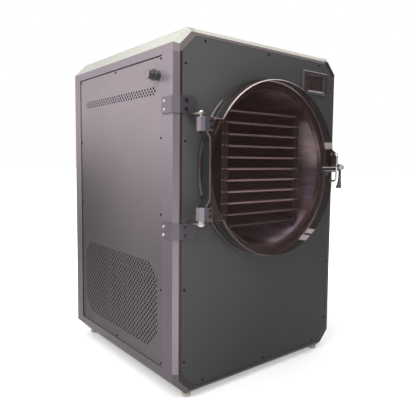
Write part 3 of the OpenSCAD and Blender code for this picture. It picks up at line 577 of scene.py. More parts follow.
def fillet(pts, radii, seg=4, closed=True):
    """Rounds the corners of a 2-D polyline. radii: one number, or one per point."""
    n = len(pts)
    rr = radii if isinstance(radii, (list, tuple)) else [radii] * n
    out = []
    for i, p in enumerate(pts):
        if not closed and i in (0, n - 1) or rr[i] <= 0:
            out.append(tuple(p))
            continue
        a, b = pts[i - 1], pts[(i + 1) % n]
        va, vb = Vector((a[0] - p[0], a[1] - p[1])), Vector((b[0] - p[0], b[1] - p[1]))
        la, lb = va.length, vb.length
        va.normalize(), vb.normalize()
        cosang = max(-1, min(1, va.dot(vb)))
        ang = math.acos(cosang)
        if ang > math.radians(176):
            out.append(tuple(p))
            continue
        t = min(rr[i] / math.tan(ang / 2), la * 0.48, lb * 0.48)
        r = t * math.tan(ang / 2)
        bis = (va + vb).normalized()
        c = Vector(p) + bis * (r / math.sin(ang / 2))
        s0, s1 = Vector(p) + va * t, Vector(p) + vb * t
        a0 = math.atan2(s0.y - c.y, s0.x - c.x)
        a1 = math.atan2(s1.y - c.y, s1.x - c.x)
        d = a1 - a0
        while d > math.pi:
            d -= 2 * math.pi
        while d < -math.pi:
            d += 2 * math.pi
        for q in range(seg + 1):
            aa = a0 + d * q / seg
            out.append((c.x + r * math.cos(aa), c.y + r * math.sin(aa)))
    return out


def prism(bm, pts, lo, hi, plane="xz", mat=0):
    """Extrudes a 2-D outline. plane xz extrudes along Y, xy along Z, yz along X."""
    def at(u, v, w):
        return P(u, w, v) if plane == "xz" else (P(u, v, w) if plane == "xy" else P(w, u, v))
    a = [bm.verts.new(at(u, v, lo)) for u, v in pts]
    b = [bm.verts.new(at(u, v, hi)) for u, v in pts]
    n = len(pts)
    fs = [bm.faces.new(a), bm.faces.new(list(reversed(b)))]
    for i in range(n):
        fs.append(bm.faces.new([a[i], a[(i + 1) % n], b[(i + 1) % n], b[i]]))
    for f in fs:
        f.material_index = mat
    return fs


def bevel_all(bm, width, segs=2, angle=25.0):
    lim = math.radians(angle)
    es = [e for e in bm.edges if len(e.link_faces) == 2 and e.calc_face_angle(0.0) > lim]
    bmesh.ops.bevel(bm, geom=es, offset=width / 1000.0, offset_type="OFFSET", segments=segs, profile=0.6, affect="EDGES", clamp_overlap=True)


def refine(node, mat, width=0.6, segs=2, body=None, angle=25.0, name=None, smooth=35.0, only=None, slot=None):
    """A rounded-edge skin of a CAD node: the same faces with real edge radii."""
    src = NODES[node]
    bm = bmesh.new()
    bm.from_mesh(src.data)
    bmesh.ops.remove_doubles(bm, verts=bm.verts, dist=2e-6)
    bmesh.ops.dissolve_limit(bm, angle_limit=math.radians(0.6), verts=bm.verts, edges=bm.edges, delimit=set())
    lim = math.radians(angle)
    es = [e for e in bm.edges if len(e.link_faces) == 2 and e.calc_face_angle(0.0) > lim and (only is None or only(e))]
    if es:
        bmesh.ops.bevel(bm, geom=es, offset=width / 1000.0, offset_type="OFFSET", segments=segs, profile=0.6, affect="EDGES", clamp_overlap=True)
    for f in bm.faces:
        f.material_index = 0
    return obj_from_bm(name or node + "_skin", bm, mat, body or node_body(node), smooth, node)


BODY_OF = {n: b for b, ns in frame["record"]["behaviour"]["bodies"].items() for n in ns}


def node_body(n):
    return BODY_OF[n]


def paint(node, mat, smooth=30.0):
    o = NODES[node]
    o.data.materials.clear()
    o.data.materials.append(mat)


def tube(name, pts, r, mat, body="cabinet", replaces=(), res=6, cyclic=False, fillets=None):
    """A round bar or pipe along points (mm), as a curve with a round section."""
    cu = bpy.data.curves.new(name, "CURVE")
    cu.dimensions = "3D"
    cu.bevel_depth = r / 1000.0
    cu.bevel_resolution = res
    cu.use_fill_caps = True
    sp = cu.splines.new("POLY")
    sp.points.add(len(pts) - 1)
    for i, p in enumerate(pts):
        v = P(*p)
        sp.points[i].co = (v.x, v.y, v.z, 1)
    sp.use_cyclic_u = cyclic
    sp.use_smooth = True
    cu.materials.append(mat)
    o = bpy.data.objects.new(name, cu)
    scene.collection.objects.link(o)
    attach(o, body)
    if replaces:
        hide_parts(*([replaces] if isinstance(replaces, str) else replaces))
    return o


def bend_path(pts, r, seg=8):
    """Rounds the corners of a 3-D polyline (mm)."""
    out = [tuple(pts[0])]
    for i in range(1, len(pts) - 1):
        p = Vector(pts[i]); a = Vector(pts[i - 1]); b = Vector(pts[i + 1])
        va, vb = (a - p), (b - p)
        la, lb = va.length, vb.length
        va.normalize(); vb.normalize()
        ang = math.acos(max(-1, min(1, va.dot(vb))))
        t = min(r / math.tan(ang / 2), la * 0.49, lb * 0.49)
        rr = t * math.tan(ang / 2)
        c = p + (va + vb).normalized() * (rr / math.sin(ang / 2))
        s0, s1 = p + va * t - c, p + vb * t - c
        tot = s0.angle(s1)
        axis = s0.cross(s1).normalized()
        for q in range(seg + 1):
            out.append(tuple(c + Matrix.Rotation(tot * q / seg, 3, axis) @ s0))
    out.append(tuple(pts[-1]))
    return out


# ------------------------------------------------------------------ camera
cam_d = bpy.data.cameras.new("camera")
cam = bpy.data.objects.new("camera", cam_d)
scene.collection.objects.link(cam)
scene.camera = cam
yaw, pitch, roll = math.radians(-38.454), math.radians(-4.4293), math.radians(0.5333)
fwd = Vector((math.sin(-yaw) * math.cos(pitch), math.cos(yaw) * math.cos(pitch), math.sin(pitch)))
rt = Vector((math.cos(yaw), math.sin(yaw), 0.0))
up = rt.cross(fwd)
r2 = rt * math.cos(roll) + up * math.sin(roll)
u2 = up * math.cos(roll) - rt * math.sin(roll)
rot = Matrix((r2, u2, -fwd)).transposed()
cam.matrix_world = Matrix.Translation(P(-538.11, -788.44, 517.72)) @ rot.to_4x4()
cam_d.sensor_width = 36.0
cam_d.lens = 36.0 * 455.976 / 416.0
cam_d.shift_x = 0.0
cam_d.shift_y = (196.963 - 208.0) / 416.0
cam_d.clip_start = 0.02
cam_d.clip_end = 200.0

# ------------------------------------------------------------------ CAD nodes and their materials
for node, key in {
    "top_panel": "top", "left_panel": "side", "right_panel": "right_side", "rear_panel": "rear", "base_pan": "zinc",
    "front_panel": "front", "chamber": "chamber", "chamber_collar": "collar", "door_gasket": "gasket",
    "rack_side_left": "rack", "rack_side_right": "rack", "rack_screws": "rivet", "rack_shelves": "shelf",
    "vacuum_line": "steel", "evaporator_coil": "copper", "insulation_jacket": "foam", "compressor": "comp",
    "condenser_fins": "fin", "condenser_frame": "zinc", "fan_shroud": "grey", "fan_motor": "grey",
    "fan_rotor": "black_plastic", "control_box": "zinc", "power_inlet": "black_plastic", "inlet_pins": "brass",
    "power_switch": "red", "drain_line": "steel", "drain_valve": "brass", "drain_lever": "dip",
    "panel_screws": "screw", "bracket_screws": "screw", "door_screws": "screw", "hinge_pins": "chrome",
    "pull_handle": "chrome", "latch_body": "chrome", "latch_lever": "keeper", "latch_keeper": "keeper",
    "display_bezel": "bezel", "display_screen": "screen", "port_fitting": "port", "port_nut": "port", "port_cap": "steel",
    "feet": "foot", "hinge_bracket_upper": "hinge", "hinge_bracket_lower": "hinge", "door_bracket_upper": "hinge",
    "door_bracket_lower": "hinge", "door_panel": "clear", "corner_castings": "casting",
    "post_front_left": "frame", "post_front_right": "frame", "posts_rear": "frame", "rail_front_top": "frame",
    "rail_front_bottom": "frame_low_shade", "rail_rear_top": "frame", "rail_rear_bottom": "frame_low_shade",
    "edge_rail_top_left": "edge_top_lit", "edge_rail_top_right": "edge_top_lit", "edge_rails_bottom": "frame_low_shade",
}.items():
    paint(node, M[key])


def cab(v):
    """Frame metres back to cabinet millimetres."""
    return Vector((v.x * 1000 + OX, v.y * 1000 + OY, v.z * 1000 + OZ))


def skin(node, mats, pick=None, width=0.6, segs=2, angle=25.0, smooth=35.0, shortest=2.5, smooth_only=False):
    """The CAD node's own faces with rounded edges and a material chosen face by face."""
    bm = bmesh.new()
    bm.from_mesh(NODES[node].data)
    bmesh.ops.remove_doubles(bm, verts=bm.verts, dist=2e-6)
    bmesh.ops.dissolve_limit(bm, angle_limit=math.radians(0.5), verts=bm.verts, edges=bm.edges, delimit=set())
    lim = math.radians(angle)
    es = [e for e in bm.edges if len(e.link_faces) == 2 and e.calc_face_angle(0.0) > lim and e.calc_length() > shortest / 1000]
    if es and width > 0:
        bmesh.ops.bevel(bm, geom=es, offset=width / 1000.0, offset_type="OFFSET", segments=segs, profile=0.6, affect="EDGES", clamp_overlap=True)
    bm.normal_update()
    for f in bm.faces:
        f.material_index = pick(cab(f.calc_center_median()), f.normal) if pick else 0
    return obj_from_bm(node + "_skin", bm, mats, node_body(node), smooth, node)


# ------------------------------------------------------------------ frame
FR = [M["frame"], M["edge_top_lit"], M["lip_dark"], M["lip_top"], M["frame_low_shade"], M["casting_low"], M["inside"], M["frame_bevel"]]


# Picks the frame paint or its lit and shaded copies face by face: painted light on up-facing top faces and the top
# lips, painted shade on the right-hand top chamfer, the lower lips, the front bevels and the bottom undersides.
def frame_pick(c, n):
    low = c.z < cs_low
    if n.x > 0.3 and n.y < -0.2 and c.z > 742:
        return 2
    if n.z > 0.30 and c.z > 742:
        return 1
    if n.x < -0.3 and n.y < -0.3 and 738 < c.z < 790:
        return 3
    if n.x < -0.5 and n.y < -0.5 and c.z > 60:
        return 7
    if abs(n.y) > 0.93 and (c.y < 2.0 or c.y > 530.0):
        return 3 if c.z > 746 and c.x < 490 else 2
    if n.z < -0.30 and c.z < 60:
        return 4
    return 0


# The lower castings take the shaded copies of the casting paint and of the lips: painted shade.
def casting_pick(c, n):
    if c.z > 400:
        return frame_pick(c, n)
    if abs(n.x) > 0.93 and (c.x < 1 or c.x > 539):
        return 0
    if abs(n.y) > 0.93 and (c.y < 2.0 or c.y > 530.0):
        return 2
    return 5


cs_low = 54.0
# The front top rail takes the lighter cream copy on its up-facing faces: painted light.
FF = list(FR)
FF[1] = M["edge_front"]
skin("rail_front_top", FF, frame_pick, 0.7, 3)
for nd in ("post_front_left", "post_front_right", "posts_rear", "rail_rear_top",
           "edge_rail_top_left", "edge_rail_top_right", "rail_front_bottom", "rail_rear_bottom", "edge_rails_bottom"):
    skin(nd, FR, frame_pick, 0.7, 3)
skin("corner_castings", FR, casting_pick, 0.7, 3, shortest=3.2)
skin("front_panel", [M["front"]], None, 0.5, 2, shortest=8.0)
skin("rear_panel", [M["rear"]], None, 0.45, 2, shortest=4.0)
skin("top_panel", [M["top"]], None, 0.6, 2)
skin("right_panel", [M["right_side"]], None, 0.4, 2, shortest=4.0)
lp = NODES["left_panel"].data
lp.materials.append(M["hole"])
for f in lp.polygons:
    c = cab(f.center + NODES["left_panel"].matrix_world.translation)
    wall = abs(f.normal.x) < 0.5 and 55 < c.y < 482 and 60 < c.z < 740
    f.material_index = 1 if wall or f.normal.x > 0.5 else 0
# Picks the bracket faces: undersides get the dark strip colour as painted shade, front faces and diagonal bevels the
# shaded copies of the hinge paint, the arm steel.
def bracket_pick(c, n):
    if n.z < -0.5:
        return 4
    if c.y < -3.6:
        return 1
    if n.y < -0.8:
        return 2
    return 3 if n.x < -0.4 and n.y < -0.4 else 0


skin("hinge_bracket_upper", [M["hinge"], M["steel"], M["hinge_front"], M["hinge_bevel"], M["seam"]], bracket_pick, 0.8, 3, shortest=1.6)
skin("hinge_bracket_lower", [M["hinge_low"], M["steel"], M["hinge_front"], M["hinge_bevel"], M["seam"]], bracket_pick, 0.8, 3, shortest=1.6)
# Door brackets: front faces and diagonal facets take the shaded copies of the knuckle paint: painted shade.
for nd in ("door_bracket_upper", "door_bracket_lower"):
    skin(nd, [M["knuckle"], M["knuckle_front"], M["knuckle_mid"]], lambda c, n: 1 if n.y < -0.9 else (2 if n.y < -0.35 and n.x < 0.2 else 0), 0.8, 3, shortest=1.5)
skin("latch_keeper", [M["keeper"], M["collar"]], lambda c, n: 1 if n.y < -0.8 else 0, 0.9, 3, shortest=1.5)
skin("chamber", [M["chamber"]], None, 0.0, smooth=30)
skin("rack_side_left", [M["rack"]], None, 0.45, 2)
skin("rack_side_right", [M["rack"]], None, 0.45, 2)


def spin_ring(name, node, prof, radii, mat, n=224, p=(XC, 0, ZC), d=(0, 1, 0)):
    bm = bmesh.new()
    revolve(bm, fillet(prof, radii, 4), p, d, n)
    return obj_from_bm(name, bm, mat, node_body(node), 40, node)


CR, MR, GF = 196.0, 187.0, 18.7
spin_ring("collar_ring", "chamber_collar", [(CR + 2.1, 0), (CR + 17, 0), (CR + 17, -2.5), (CR + 14.4, -4.6), (CR + 13, -6.5),
          (CR + 13, -16), (CR + 2.1, -16)], [0.1, 0.6, 1.2, 1.5, 1.5, 1.3, 0.3], M["collar"])
spin_ring("gasket_ring", "door_gasket", [(MR, -GF), (CR - 3, -GF), (CR - 2, -GF + 1.2), (CR - 0.5, -GF), (CR + 11.5, -GF),
          (CR + 11.5, -16.1), (CR - 0.2, -16.1), (CR - 0.2, -4), (CR - 3, -3), (MR, -5.5)],
          [1.4, 0.5, 0.4, 0.5, 1.1, 0.6, 0.2, 0.5, 0.8, 1.6], [M["gasket"], M["chamber"]])
for f in bpy.data.objects["gasket_ring"].data.polygons:
    q = cab(f.center)
    rv = Vector((q.x - XC, 0, q.z - ZC))
    if rv.length < CR - 2.5 and rv.normalized().dot(f.normal) < -0.6:
        f.material_index = 1
bmw = bmesh.new()
bead = []
for i in range(10):
    a = 2 * math.pi * i / 10
    bead.append((CR - 0.2 + 1.5 * math.cos(a), 369 + 2.4 * math.sin(a)))
revolve(bmw, bead, (XC, 0, ZC), (0, 1, 0), 180)
obj_from_bm("chamber_weld", bmw, M["steel"], "cabinet", 40)


# ------------------------------------------------------------------ fasteners
def button_head(bm, p, d, r, h, sock, depth=None, n=32, mat=0, lip=0.25):
    """A domed head with a hex socket, its seat at p, standing along d."""
    dep = depth or h * 0.62
    prof = [(0, h - dep), (sock * 0.9, h - dep), (sock * 1.08, h - 0.15), (sock * 1.22, h)]
    for q in range(1, 7):
        a = math.radians(90 - 15 * q)
        k = max(0.0, math.cos(a))
        rr = sock * 1.22 + (r - sock * 1.22) * k
        zz = lip + (h - lip) * math.sin(a)
        prof.append((rr, zz))
    prof += [(r, 0.0), (0, 0.0)]
    revolve(bm, prof, p, d, n, mat, closed=False, hexes=(1, 2))


def socket_cap(bm, p, d, r, h, sock, n=36, mat=0, dark=None, rim=None):
    """A socket cap head: flat top with a rounded rim and a deep hex; dark is a material for the hex recess, painted
    shade, and rim one for the flat top annulus, a painted highlight.
    """
    prof = [(0, h * 0.35), (sock * 0.96, h * 0.35), (sock * 1.05, h - 0.12), (sock * 1.2, h), (r - 0.55, h), (r - 0.2, h - 0.12),
            (r, h - 0.45), (r, 0.2), (r - 0.15, 0), (0, 0)]
    mats = [mat] * (len(prof) - 1)
    if dark is not None:
        mats[0] = mats[1] = dark
    if rim is not None:
        mats[3] = mats[4] = rim
    revolve(bm, prof, p, d, n, mats, closed=False, hexes=(1, 2))


FZ = [78.5, 239.5, H - 239.5, H - 78]
FX = [77, XC, W - 77]
SZ = [62.5, 231, 400.5, 568, H - 62.5]
SY = [57.5, D - 54]
front_pts = [(25.3, z) for z in FZ] + [(W - 25.3, z) for z in FZ] + [(x, 24.5) for x in FX] + [(x, H - 24.5) for x in FX]
side_pts = [(SY[0], z) for z in SZ] + [(SY[1], z) for z in SZ] + [(D / 2 + 2, 62.5), (D / 2 + 2, H - 62.5)]
bm = bmesh.new()
for x, z in front_pts:
    button_head(bm, (x, 0.2, z), (0, -1, 0), 2.7, 1.75, 1.15)
    button_head(bm, (x, D - 0.2, z), (0, 1, 0), 2.7, 1.75, 1.15)
for y, z in side_pts:
    button_head(bm, (2, y, z), (-1, 0, 0), 2.5, 1.75, 1.1)
    button_head(bm, (W - 2, y, z), (1, 0, 0), 2.5, 1.75, 1.1)
obj_from_bm("panel_button_heads", bm, M["screw"], "cabinet", 40, "panel_screws")

# Socket heads with a painted-shade recess and a painted-highlight top annulus.
bm = bmesh.new()
for z in (626.8, 645, 358.5, 376.5):
    socket_cap(bm, (25.7, -3, z), (0, -1, 0), 4.1, 2.4, 1.75, dark=2, rim=3)
    button_head(bm, (-3, 39, z), (-1, 0, 0), 4.1, 2.4, 1.6, 0.9, 40, 1)
for z in (518, 541):
    button_head(bm, (515, -3, z), (0, -1, 0), 3.0, 1.8, 1.2)
obj_from_bm("bracket_socket_heads", bm, [M["screw"], M["chrome_dark"], M["black_plastic"], M["oxide_rim"]], "cabinet", 35, "bracket_screws")

# Socket heads with a painted-shade recess and a painted-highlight top annulus.
bm = bmesh.new()
for z in (588.5, 601.5, 402.5, 415):
    socket_cap(bm, (57.5, -49, z), (0, -1, 0), 4.2, 2.6, 1.9, dark=1, rim=2)
    revolve(bm, [(0, -18.9), (2.5, -18.9), (2.5, -15), (2.3, -14.9), (0, -14.9)], (57.5, 0, z), (0, 1, 0), 24, closed=False)
    revolve(bm, [(2.4, -18.9), (4.4, -18.9), (4.9, -18.3), (4.9, -15.6), (4.4, -15), (2.4, -15)], (57.5, 0, z), (0, 1, 0), 24, hexes=(1, 2, 3, 4))
obj_from_bm("door_socket_heads", bm, [M["screw"], M["black_plastic"], M["oxide_rim"]], node_body("door_screws"), 35, "door_screws")

# hinge pins with domed nuts
PX, PY = 40.2, -37.0
bm = bmesh.new()
for z0, sgn, base in ((618.7, 1, 583.0), (385.0, -1, 418.5)):
    prof = [(0, 0.0), (6.9, 0.0), (7.2, 0.3)]
    for q in range(0, 9):
        a = math.radians(q * 11.25)
        prof.append((0.6 + 6.6 * math.cos(a), 0.9 + 4.2 * math.sin(a)))
    prof.append((0, 5.1))
    prof = [(r, min(h, 4.8)) for r, h in prof]
    revolve(bm, prof, (PX, PY, z0), (0, 0, sgn), 48, closed=False)
    revolve(bm, [(0, 0), (3.6, 0), (4, 0.4), (4, abs(z0 - base)), (0, abs(z0 - base))], (PX, PY, base), (0, 0, sgn), 48, closed=False)
revolve(bm, [(3.95, 389.5), (6.0, 389.5), (6.3, 389.8), (6.3, 392.4), (6.0, 392.8), (3.95, 392.8)], (PX, PY, 0), (0, 0, 1), 48)
obj_from_bm("hinge_pin_set", bm, M["chrome"], node_body("hinge_pins"), 40, "hinge_pins")

# dark strip standing in for the shade in the gap along the left panel's top and rear edges (painted shade), near-black
# sheets behind its vents standing in for the shade in the holes (painted shade)
lv = [cab(v.co + NODES["left_panel"].matrix_world.translation) for v in lp.vertices]
ly0, ly1, lz1 = min(v.y for v in lv), max(v.y for v in lv), max(v.z for v in lv)
lz0 = min(v.z for v in lv)
bm = bmesh.new()
prism(bm, [(ly0 + 0.6, lz1 - 1.7), (ly1 - 0.6, lz1 - 1.7), (ly1 - 0.6, lz1 + 0.42), (ly0 + 0.6, lz1 + 0.42)], 1.0, 1.96, "yz", 0)
prism(bm, [(ly1 - 1.0, lz0 + 0.6), (ly1 + 0.42, lz0 + 0.6), (ly1 + 0.42, lz1 - 1.8), (ly1 - 1.0, lz1 - 1.8)], 1.0, 1.96, "yz", 0)
bevel_all(bm, 0.2, 1, 60)
obj_from_bm("left_seam_strip", bm, M["seam"], "cabinet", 30)
# Regions behind the left vents that get a near-black sheet: painted shade in the holes.
VENT_SHADE_SHEETS = ((74, 452, 651, 687), (338.5, 452, 82, 300), (70, 338, 258, 300))
bm = bmesh.new()
for y0, y1, z0, z1 in VENT_SHADE_SHEETS:
    prism(bm, fillet([(y0, z0), (y1, z0), (y1, z1), (y0, z1)], 2, 3), 4.4, 5.6, "yz", 0)
obj_from_bm("left_vent_shade_sheet", bm, M["cloth_dark"], "cabinet", 30)

# vent filter cloths behind the rear slots and the right-hand louvres
bm = bmesh.new()
for x0, x1 in ((104, 266), (274, 436)):
    prism(bm, fillet([(x0, 224), (x1, 224), (x1, 420), (x0, 420)], 3, 3), 526.6, 528.8, "xz", 0)
bevel_all(bm, 0.4, 2, 60)
obj_from_bm("rear_filter_cloth", bm, M["cloth"], "cabinet", 30)
bm = bmesh.new()
prism(bm, fillet([(142, 100), (378, 100), (378, 276), (142, 276)], 3, 3), W - 6.4, W - 4.4, "yz", 0)
bevel_all(bm, 0.4, 2, 60)
obj_from_bm("louvre_filter_cloth", bm, M["cloth"], "cabinet", 30)

# ------------------------------------------------------------------ door slab
def inset(pts, d):
    """Moves a counter-clockwise outline inward by d."""
    out = []
    n = len(pts)
    for i in range(n):
        p0, p1, p2 = Vector(pts[i - 1]), Vector(pts[i]), Vector(pts[(i + 1) % n])
        e0, e1 = (p1 - p0).normalized(), (p2 - p1).normalized()
        n0, n1 = Vector((-e0.y, e0.x)), Vector((-e1.y, e1.x))
        m = (n0 + n1).normalized()
        k = max(0.35, m.dot(n0))
        q = p1 + m * (d / k)
        out.append((q.x, q.y))
    return out


def door_outline(n=150):
    R = 208.5
    pts, rad = [], []
    a0, a1 = math.asin(51.66 / R), math.atan2(107.5, -178.65)
    for i in range(n + 1):
        a = a0 + (a1 - a0) * i / n
        pts.append((XC + R * math.cos(a), ZC + R * math.sin(a)))
        rad.append(0)
    for p, r in (((47, 609.5), 2.0), ((47, 578.5), 3.0), ((56, 566.5), 9.0), ((56, 437), 9.0), ((47, 425), 3.0), ((47, 391), 2.0)):
        pts.append(p)
        rad.append(r)
    b0, b1 = math.atan2(-111, -176.5) + 2 * math.pi, 2 * math.pi - a0
    for i in range(n + 1):
        a = b0 + (b1 - b0) * i / n
        pts.append((XC + R * math.cos(a), ZC + R * math.sin(a)))
        rad.append(0)
    return fillet(pts, rad, 5)


def door_slab():
    out = door_outline()
    small = inset(out, 2.2)
    bm = bmesh.new()
    rings = [[bm.verts.new(P(x, y, z)) for x, z in pts] for pts, y in ((small, -46.0), (out, -43.8), (out, -21.2), (small, -19.0))]
    n = len(out)
    for k, mt in ((0, 2), (1, 1), (2, 2)):
        for i in range(n):
            f = bm.faces.new([rings[k][i], rings[k][(i + 1) % n], rings[k + 1][(i + 1) % n], rings[k + 1][i]])
            f.material_index = mt
    caps = [bm.faces.new(rings[0]), bm.faces.new(list(reversed(rings[3])))]
    bmesh.ops.triangulate(bm, faces=caps)
    return obj_from_bm("door_slab", bm, [M["clear"], M["edge"], M["chamfer"]], node_body("door_panel"), 30, "door_panel")


door_slab()

# ------------------------------------------------------------------ pull handle
HX, HA, HB, HR, HC = 464.0, 470.5, 540.5, 2.5, 9.0
tube("handle_bar", bend_path([(HX, -46.1, HA), (HX, -63.5, HA), (HX, -63.5, HB), (HX, -46.1, HB)], HC, 12), HR, M["chrome"],
     node_body("pull_handle"), "pull_handle", 8)
bm = bmesh.new()
for z in (HA, HB):
    revolve(bm, [(2.4, -46.1), (4.4, -46.1), (4.4, -46.9), (3.9, -47.3), (3.2, -47.5), (2.4, -47.5)], (HX, 0, z), (0, 1, 0), 40)
obj_from_bm("handle_flanges", bm, M["oxide_rim"], node_body("pull_handle"), 40)

# ------------------------------------------------------------------ latch
LX, LZ = 488.0, 505.7
bm = bmesh.new()
prism(bm, fillet([(422, 493.5), (490, 493.5), (490, 509), (422, 509)], 2.2, 4), -48.9, -46.1, "xz", 1)
bevel_all(bm, 0.5, 2, 60)
for f in bm.faces:
    f.material_index = 1
for zz, yy, rr, x0, x1 in ((505.9, -50.4, 1.7, 422.6, 482), (497.0, -49.8, 1.2, 433, 484)):
    revolve(bm, [(0, x0), (rr - 0.4, x0), (rr, x0 + 0.5), (rr, x1), (0, x1)], (0, yy, zz), (1, 0, 0), 24, 0, closed=False)
revolve(bm, [(5.1, -46.1), (8.5, -46.1), (8.5, -53.6), (7.6, -54.6), (5.1, -54.6)], (LX, 0, LZ), (0, 1, 0), 56, 2)
obj_from_bm("latch_body_set", bm, [M["chrome"], M["black_plastic"], M["keeper"]], node_body("latch_body"), 35, "latch_body")

bm = bmesh.new()
lever = fillet([(LX - 3.4, 503), (LX - 3.4, 480), (LX - 6.2, 466), (LX - 13.2, 453.8), (LX - 8, 450.2), (LX - 2, 454.6), (LX + 2, 450.0), (LX + 6.7, 452),
                (LX + 4.8, 466), (LX + 3.4, 480), (LX + 3.4, 503)], [1, 8, 12, 2.0, 1.6, 1.6, 1.6, 1.8, 12, 8, 1], 5)
prism(bm, lever, -59.2, -55.0, "xz", 0)
bevel_all(bm, 1.2, 3, 50)
revolve(bm, [(0, -12.3), (5, -12.3), (5, -63), (0, -63)], (LX, 0, LZ), (0, 1, 0), 48, 1, closed=False)
revolve(bm, [(4.9, -55.0), (7.6, -55.0), (8.1, -55.6), (8.1, -60.8), (7.2, -62.2), (4.9, -62.9)], (LX, 0, LZ), (0, 1, 0), 56, 2)
revolve(bm, [(0, -62.9), (6.0, -62.9), (6.2, -63.2), (6.2, -65.2), (5.0, -66), (0, -66)], (LX, 0, LZ), (0, 1, 0), 48, 2, closed=False, hexes=(1, 2, 3))
revolve(bm, [(4.9, -16.3), (7.2, -16.3), (7.5, -16), (7.5, -12.6), (7.2, -12.3), (4.9, -12.3)], (LX, 0, LZ), (0, 1, 0), 48, 1)
prism(bm, fillet([(LX - 5, LZ), (LX - 5, LZ - 22.5), (LX + 5, LZ - 22.5), (LX + 5, LZ)], [0, 2.5, 2.5, 0], 5), -16.3, -12.3, "xz", 1)
obj_from_bm("latch_lever_set", bm, [M["lever"], M["steel"], M["chrome"]], node_body("latch_lever"), 35, "latch_lever")

# ------------------------------------------------------------------ rack
bm = bmesh.new()
SH, RU, RY, SP = 113.0, 134.0, 14.0, 27.0
for i in range(11):
    z = ZC + (i - 5) * SP
    x0, x1 = XC - RU + 1.7, XC + RU - 1.7
    prism(bm, [(x0, z), (x1, z), (x1, z + 1.6), (x0, z + 1.6)], RY + 2.2, RY + 1.8 + 372, "xz", 0)
    sec = fillet([(RY - 0.8, z - 3), (RY + 0.8, z - 3), (RY + 0.8, z), (RY + 2.4, z), (RY + 2.4, z + 1.6), (RY - 0.8, z + 1.6)], [0.5, 0.4, 0.2, 0, 0, 0.75], 4)
    prism(bm, sec, XC - SH + 0.3, XC + SH - 0.3, "yz", 1)
obj_from_bm("shelf_set", bm, [M["shelf"], M["shelf_edge"]], node_body("rack_shelves"), 35, "rack_shelves")
bm = bmesh.new()
for i in range(11):
    zz = (i - 5) * SP
    for sg in (-1, 1):
        for x in (118.5, 129):
            if x < 125 or abs(zz) < 118:
                revolve(bm, [(0, 0), (1.75, 0), (1.7, 0.4), (1.3, 0.85), (0.7, 1.1), (0, 1.15)], (XC + sg * x, RY - 0.05, ZC + zz), (0, -1, 0), 16, closed=False)
obj_from_bm("rack_rivets", bm, M["rivet"], "cabinet", 60, "rack_screws")

# ------------------------------------------------------------------ display
bm = bmesh.new()
DX0, DX1, DZ0, DZ1 = 391.0, 491.5, 696.0, 757.0


def dring(i, y):
    pts = [(DX0 + i, DZ0 + 4 + i * 0.6), (DX0 + 4 + i * 0.6, DZ0 + i), (DX1 - 4 - i * 0.6, DZ0 + i), (DX1 - i, DZ0 + 4 + i * 0.6), (DX1 - i, DZ1 - i), (DX0 + i, DZ1 - i)]
    return pts, y


def loop_quad(x0, x1, z0, z1):
    """Six points like the bezel outline so that the rings bridge one to one."""
    return [(x0, z0 + 0.6), (x0 + 0.6, z0), (x1 - 0.6, z0), (x1, z0 + 0.6), (x1, z1), (x0, z1)]


rings = [(dring(0.0, 0)[0], 0.0), (dring(0.0, 0)[0], -2.4), (dring(0.35, 0)[0], -3.0), (dring(3.6, 0)[0], -7.5), (dring(4.3, 0)[0], -8.0),
         (loop_quad(408.0, 478.0, 702.0, 748.0), -8.0), (loop_quad(408.4, 477.6, 702.5, 747.6), -7.7), (loop_quad(411.7, 474.3, 706.2, 744.6), -4.6),
         (loop_quad(412.1, 473.9, 706.8, 744.4), -4.2), (loop_quad(412.1, 473.9, 706.8, 744.4), -2.5)]
vr = [[bm.verts.new(P(x, y, z)) for x, z in pts] for pts, y in rings]
for a, b2 in zip(vr, vr[1:]):
    for i in range(6):
        bm.faces.new([a[i], a[(i + 1) % 6], b2[(i + 1) % 6], b2[i]])
bm.faces.new(list(reversed(vr[0])))
bm.faces.new(vr[-1])
ds = obj_from_bm("display_surround", bm, [M["bezel"], M["bezel_lit"], M["bezel_mid"], M["bezel_dark"]], "cabinet", 20, "display_bezel")
# Up-facing faces take the lit copy, down-facing faces and the recess sides the shaded copies: painted light and shade.
for f in ds.data.polygons:
    q, nn = cab(f.center), f.normal
    inner = 403 < q.x < 483 and 699 < q.z < 750 and abs(nn.y) < 0.95
    if abs(nn.y) > 0.95:
        f.material_index = 0
    elif inner:
        f.material_index = 1 if nn.z > 0.4 else (3 if nn.z < -0.4 else 2)
    else:
        f.material_index = 1 if nn.z > 0.4 else (3 if nn.z < -0.4 else 0)
bm = bmesh.new()
prism(bm, fillet([(412.4, 707.4), (473.6, 707.4), (473.6, 744.1), (412.4, 744.1)], 1.2, 4), -3.9, -2.9, "xz", 0)
bevel_all(bm, 0.3, 2, 60)
obj_from_bm("display_glass", bm, M["screen"], "cabinet", 30, "display_screen")

# ------------------------------------------------------------------ vacuum port
VY, VZ = 70.0, 703.0
bm = bmesh.new()
revolve(bm, [(7.4, -6.5), (9.6, -6.5), (10.5, -5.8), (10.5, -0.4), (11.0, -0.3), (11.0, 1.9), (7.4, 1.9)], (0, VY, VZ), (1, 0, 0), 72, 0)
revolve(bm, [(4.5, -24), (6.6, -24), (7, -23.6), (7, 26), (4.5, 26)], (0, VY, VZ), (1, 0, 0), 56, 0)
revolve(bm, [(7, 6.8), (11.6, 6.8), (12, 7.2), (12, 10.6), (11.6, 11), (7, 11)], (0, VY, VZ), (1, 0, 0), 48, 1, hexes=(1, 2, 3, 4))
obj_from_bm("port_stub", bm, [M["port"], M["steel"]], "cabinet", 35, "port_fitting")
bm = bmesh.new()
revolve(bm, [(7.05, -6.6), (12.0, -6.6), (13.5, -7.3), (13.5, -12.2), (12.0, -13.0), (8.6, -13.0), (7.05, -12.6)], (0, VY, VZ), (1, 0, 0), 72, 0, hexes=(2, 3))
